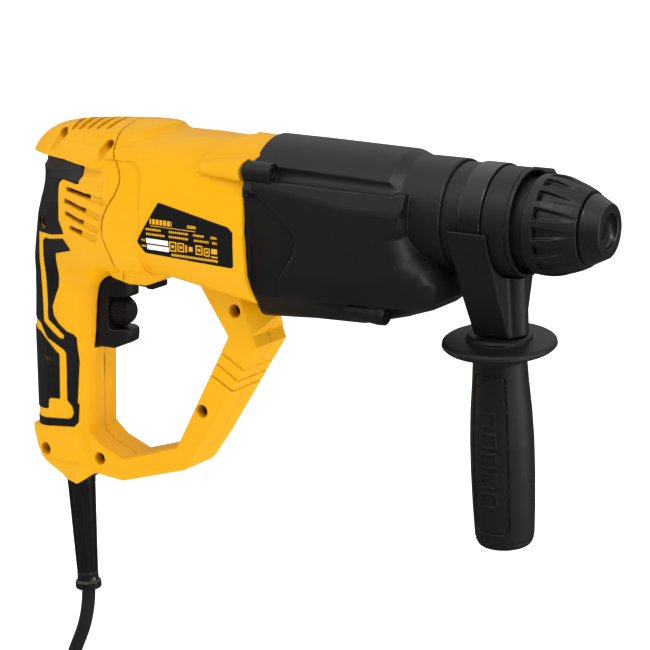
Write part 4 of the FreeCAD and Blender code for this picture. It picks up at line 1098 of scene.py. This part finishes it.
def build_lead():
    """The lead, and the pieces that travel on it."""
    lead = make_cord()
    plug = formed("plug_body", mains_plug, (TAIL_X - 19, -13, -536), (TAIL_X + 19, 13, -490), 0.5,
                  GLOSS_BLACK, "hammer", "mains_plug", "gloss_black")
    pins = formed("plug_contacts", plug_pins, (TAIL_X - 13, -3, -554), (TAIL_X + 13, 3, -534), 0.3,
                  BRASS, "hammer", "plug_pins", "brass")
    tie = formed("coil_strap", coil_tie, (-296, -20, -436), (-252, 20, -400), 0.4,
                 BLACK, "hammer", "coil_tie", "black_plastic")


build_lead()
build_pieces()


# ---------------- finishes of the inner parts

INNER = {
    STEEL: ["spindle_tube", "locking_ball", "sleeve_spring", "spindle_gear", "slip_clutch", "spindle_bearings",
            "striker", "impact_bolt", "wobble_ring", "wobble_hub", "countershaft", "countershaft_gear",
            "countershaft_bearings", "armature_shaft", "armature_bearings", "brush_springs", "trigger_spring",
            "handle_bolt"],
    CAST: ["piston", "bearing_plate"],
    LAMINATED: ["armature_core", "stator_core"],
    COPPER: ["armature_windings", "commutator", "field_coils"],
    CARBON: ["carbon_brushes"],
    BLACK: ["cooling_fan", "brush_holder_ring", "switch_body", "cable_clamp"],
    RUBBER: ["oil_seal"],
}
for mat, names in INNER.items():
    for name in names:
        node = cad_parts[name]
        node.data.materials.clear()
        node.data.materials.append(mat)


# ---------------- studio


def area_light(name, place, aim, size, power, colour=(1, 1, 1)):
    data = bpy.data.lights.new(name, "AREA")
    data.shape = "RECTANGLE"
    data.size, data.size_y = size
    data.energy = power
    data.color = colour
    lamp = linked(name, data)
    lamp.location = place
    lamp.rotation_euler = (Vector(aim) - Vector(place)).to_track_quat("-Z", "Y").to_euler()


def studio():
    world = bpy.data.worlds.new("studio")
    world.use_nodes = True
    nodes, links = world.node_tree.nodes, world.node_tree.links
    # a bright ceiling over dark walls
    place = nodes.new("ShaderNodeTexCoord")
    axes = nodes.new("ShaderNodeSeparateXYZ")
    ramp = nodes.new("ShaderNodeMapRange")
    for name, value in (("From Max", 0.8), ("To Min", 0.10), ("To Max", 1.1)):
        ramp.inputs[name].default_value = value
    links.new(place.outputs["Generated"], axes.inputs["Vector"])
    links.new(axes.outputs["Z"], ramp.inputs["Value"])
    links.new(ramp.outputs["Result"], nodes["Background"].inputs["Strength"])
    nodes["Background"].inputs["Color"].default_value = (1, 1, 1, 1)
    bpy.context.scene.world = world
    bpy.context.scene.view_settings.view_transform = "Standard"
    mesh = bpy.data.meshes.new("floor")
    z = -0.50
    mesh.from_pydata([(-40, -40, z), (40, -40, z), (40, 40, z), (-40, 40, z)], [], [(0, 1, 2, 3)])
    floor = linked("floor", mesh)
    glow = FLOOR.node_tree.nodes["Principled BSDF"]
    glow.inputs["Emission Color"].default_value = (1, 1, 1, 1)
    glow.inputs["Emission Strength"].default_value = 0.70
    mesh.materials.append(FLOOR)
    floor.visible_glossy = False
    centre = (0.15, 0, 0.05)
    area_light("key_softbox", (0.3, -1.0, 1.6), centre, (1.0, 0.7), 13.5)
    area_light("left_strip", (-1.3, -0.7, 0.6), centre, (0.35, 1.4), 6.5)
    area_light("rim_panel", (1.7, 0.45, -0.15), centre, (0.9, 0.6), 7)
    area_light("front_strip", (1.5, -0.5, 0.4), centre, (0.35, 1.4), 8)


studio()
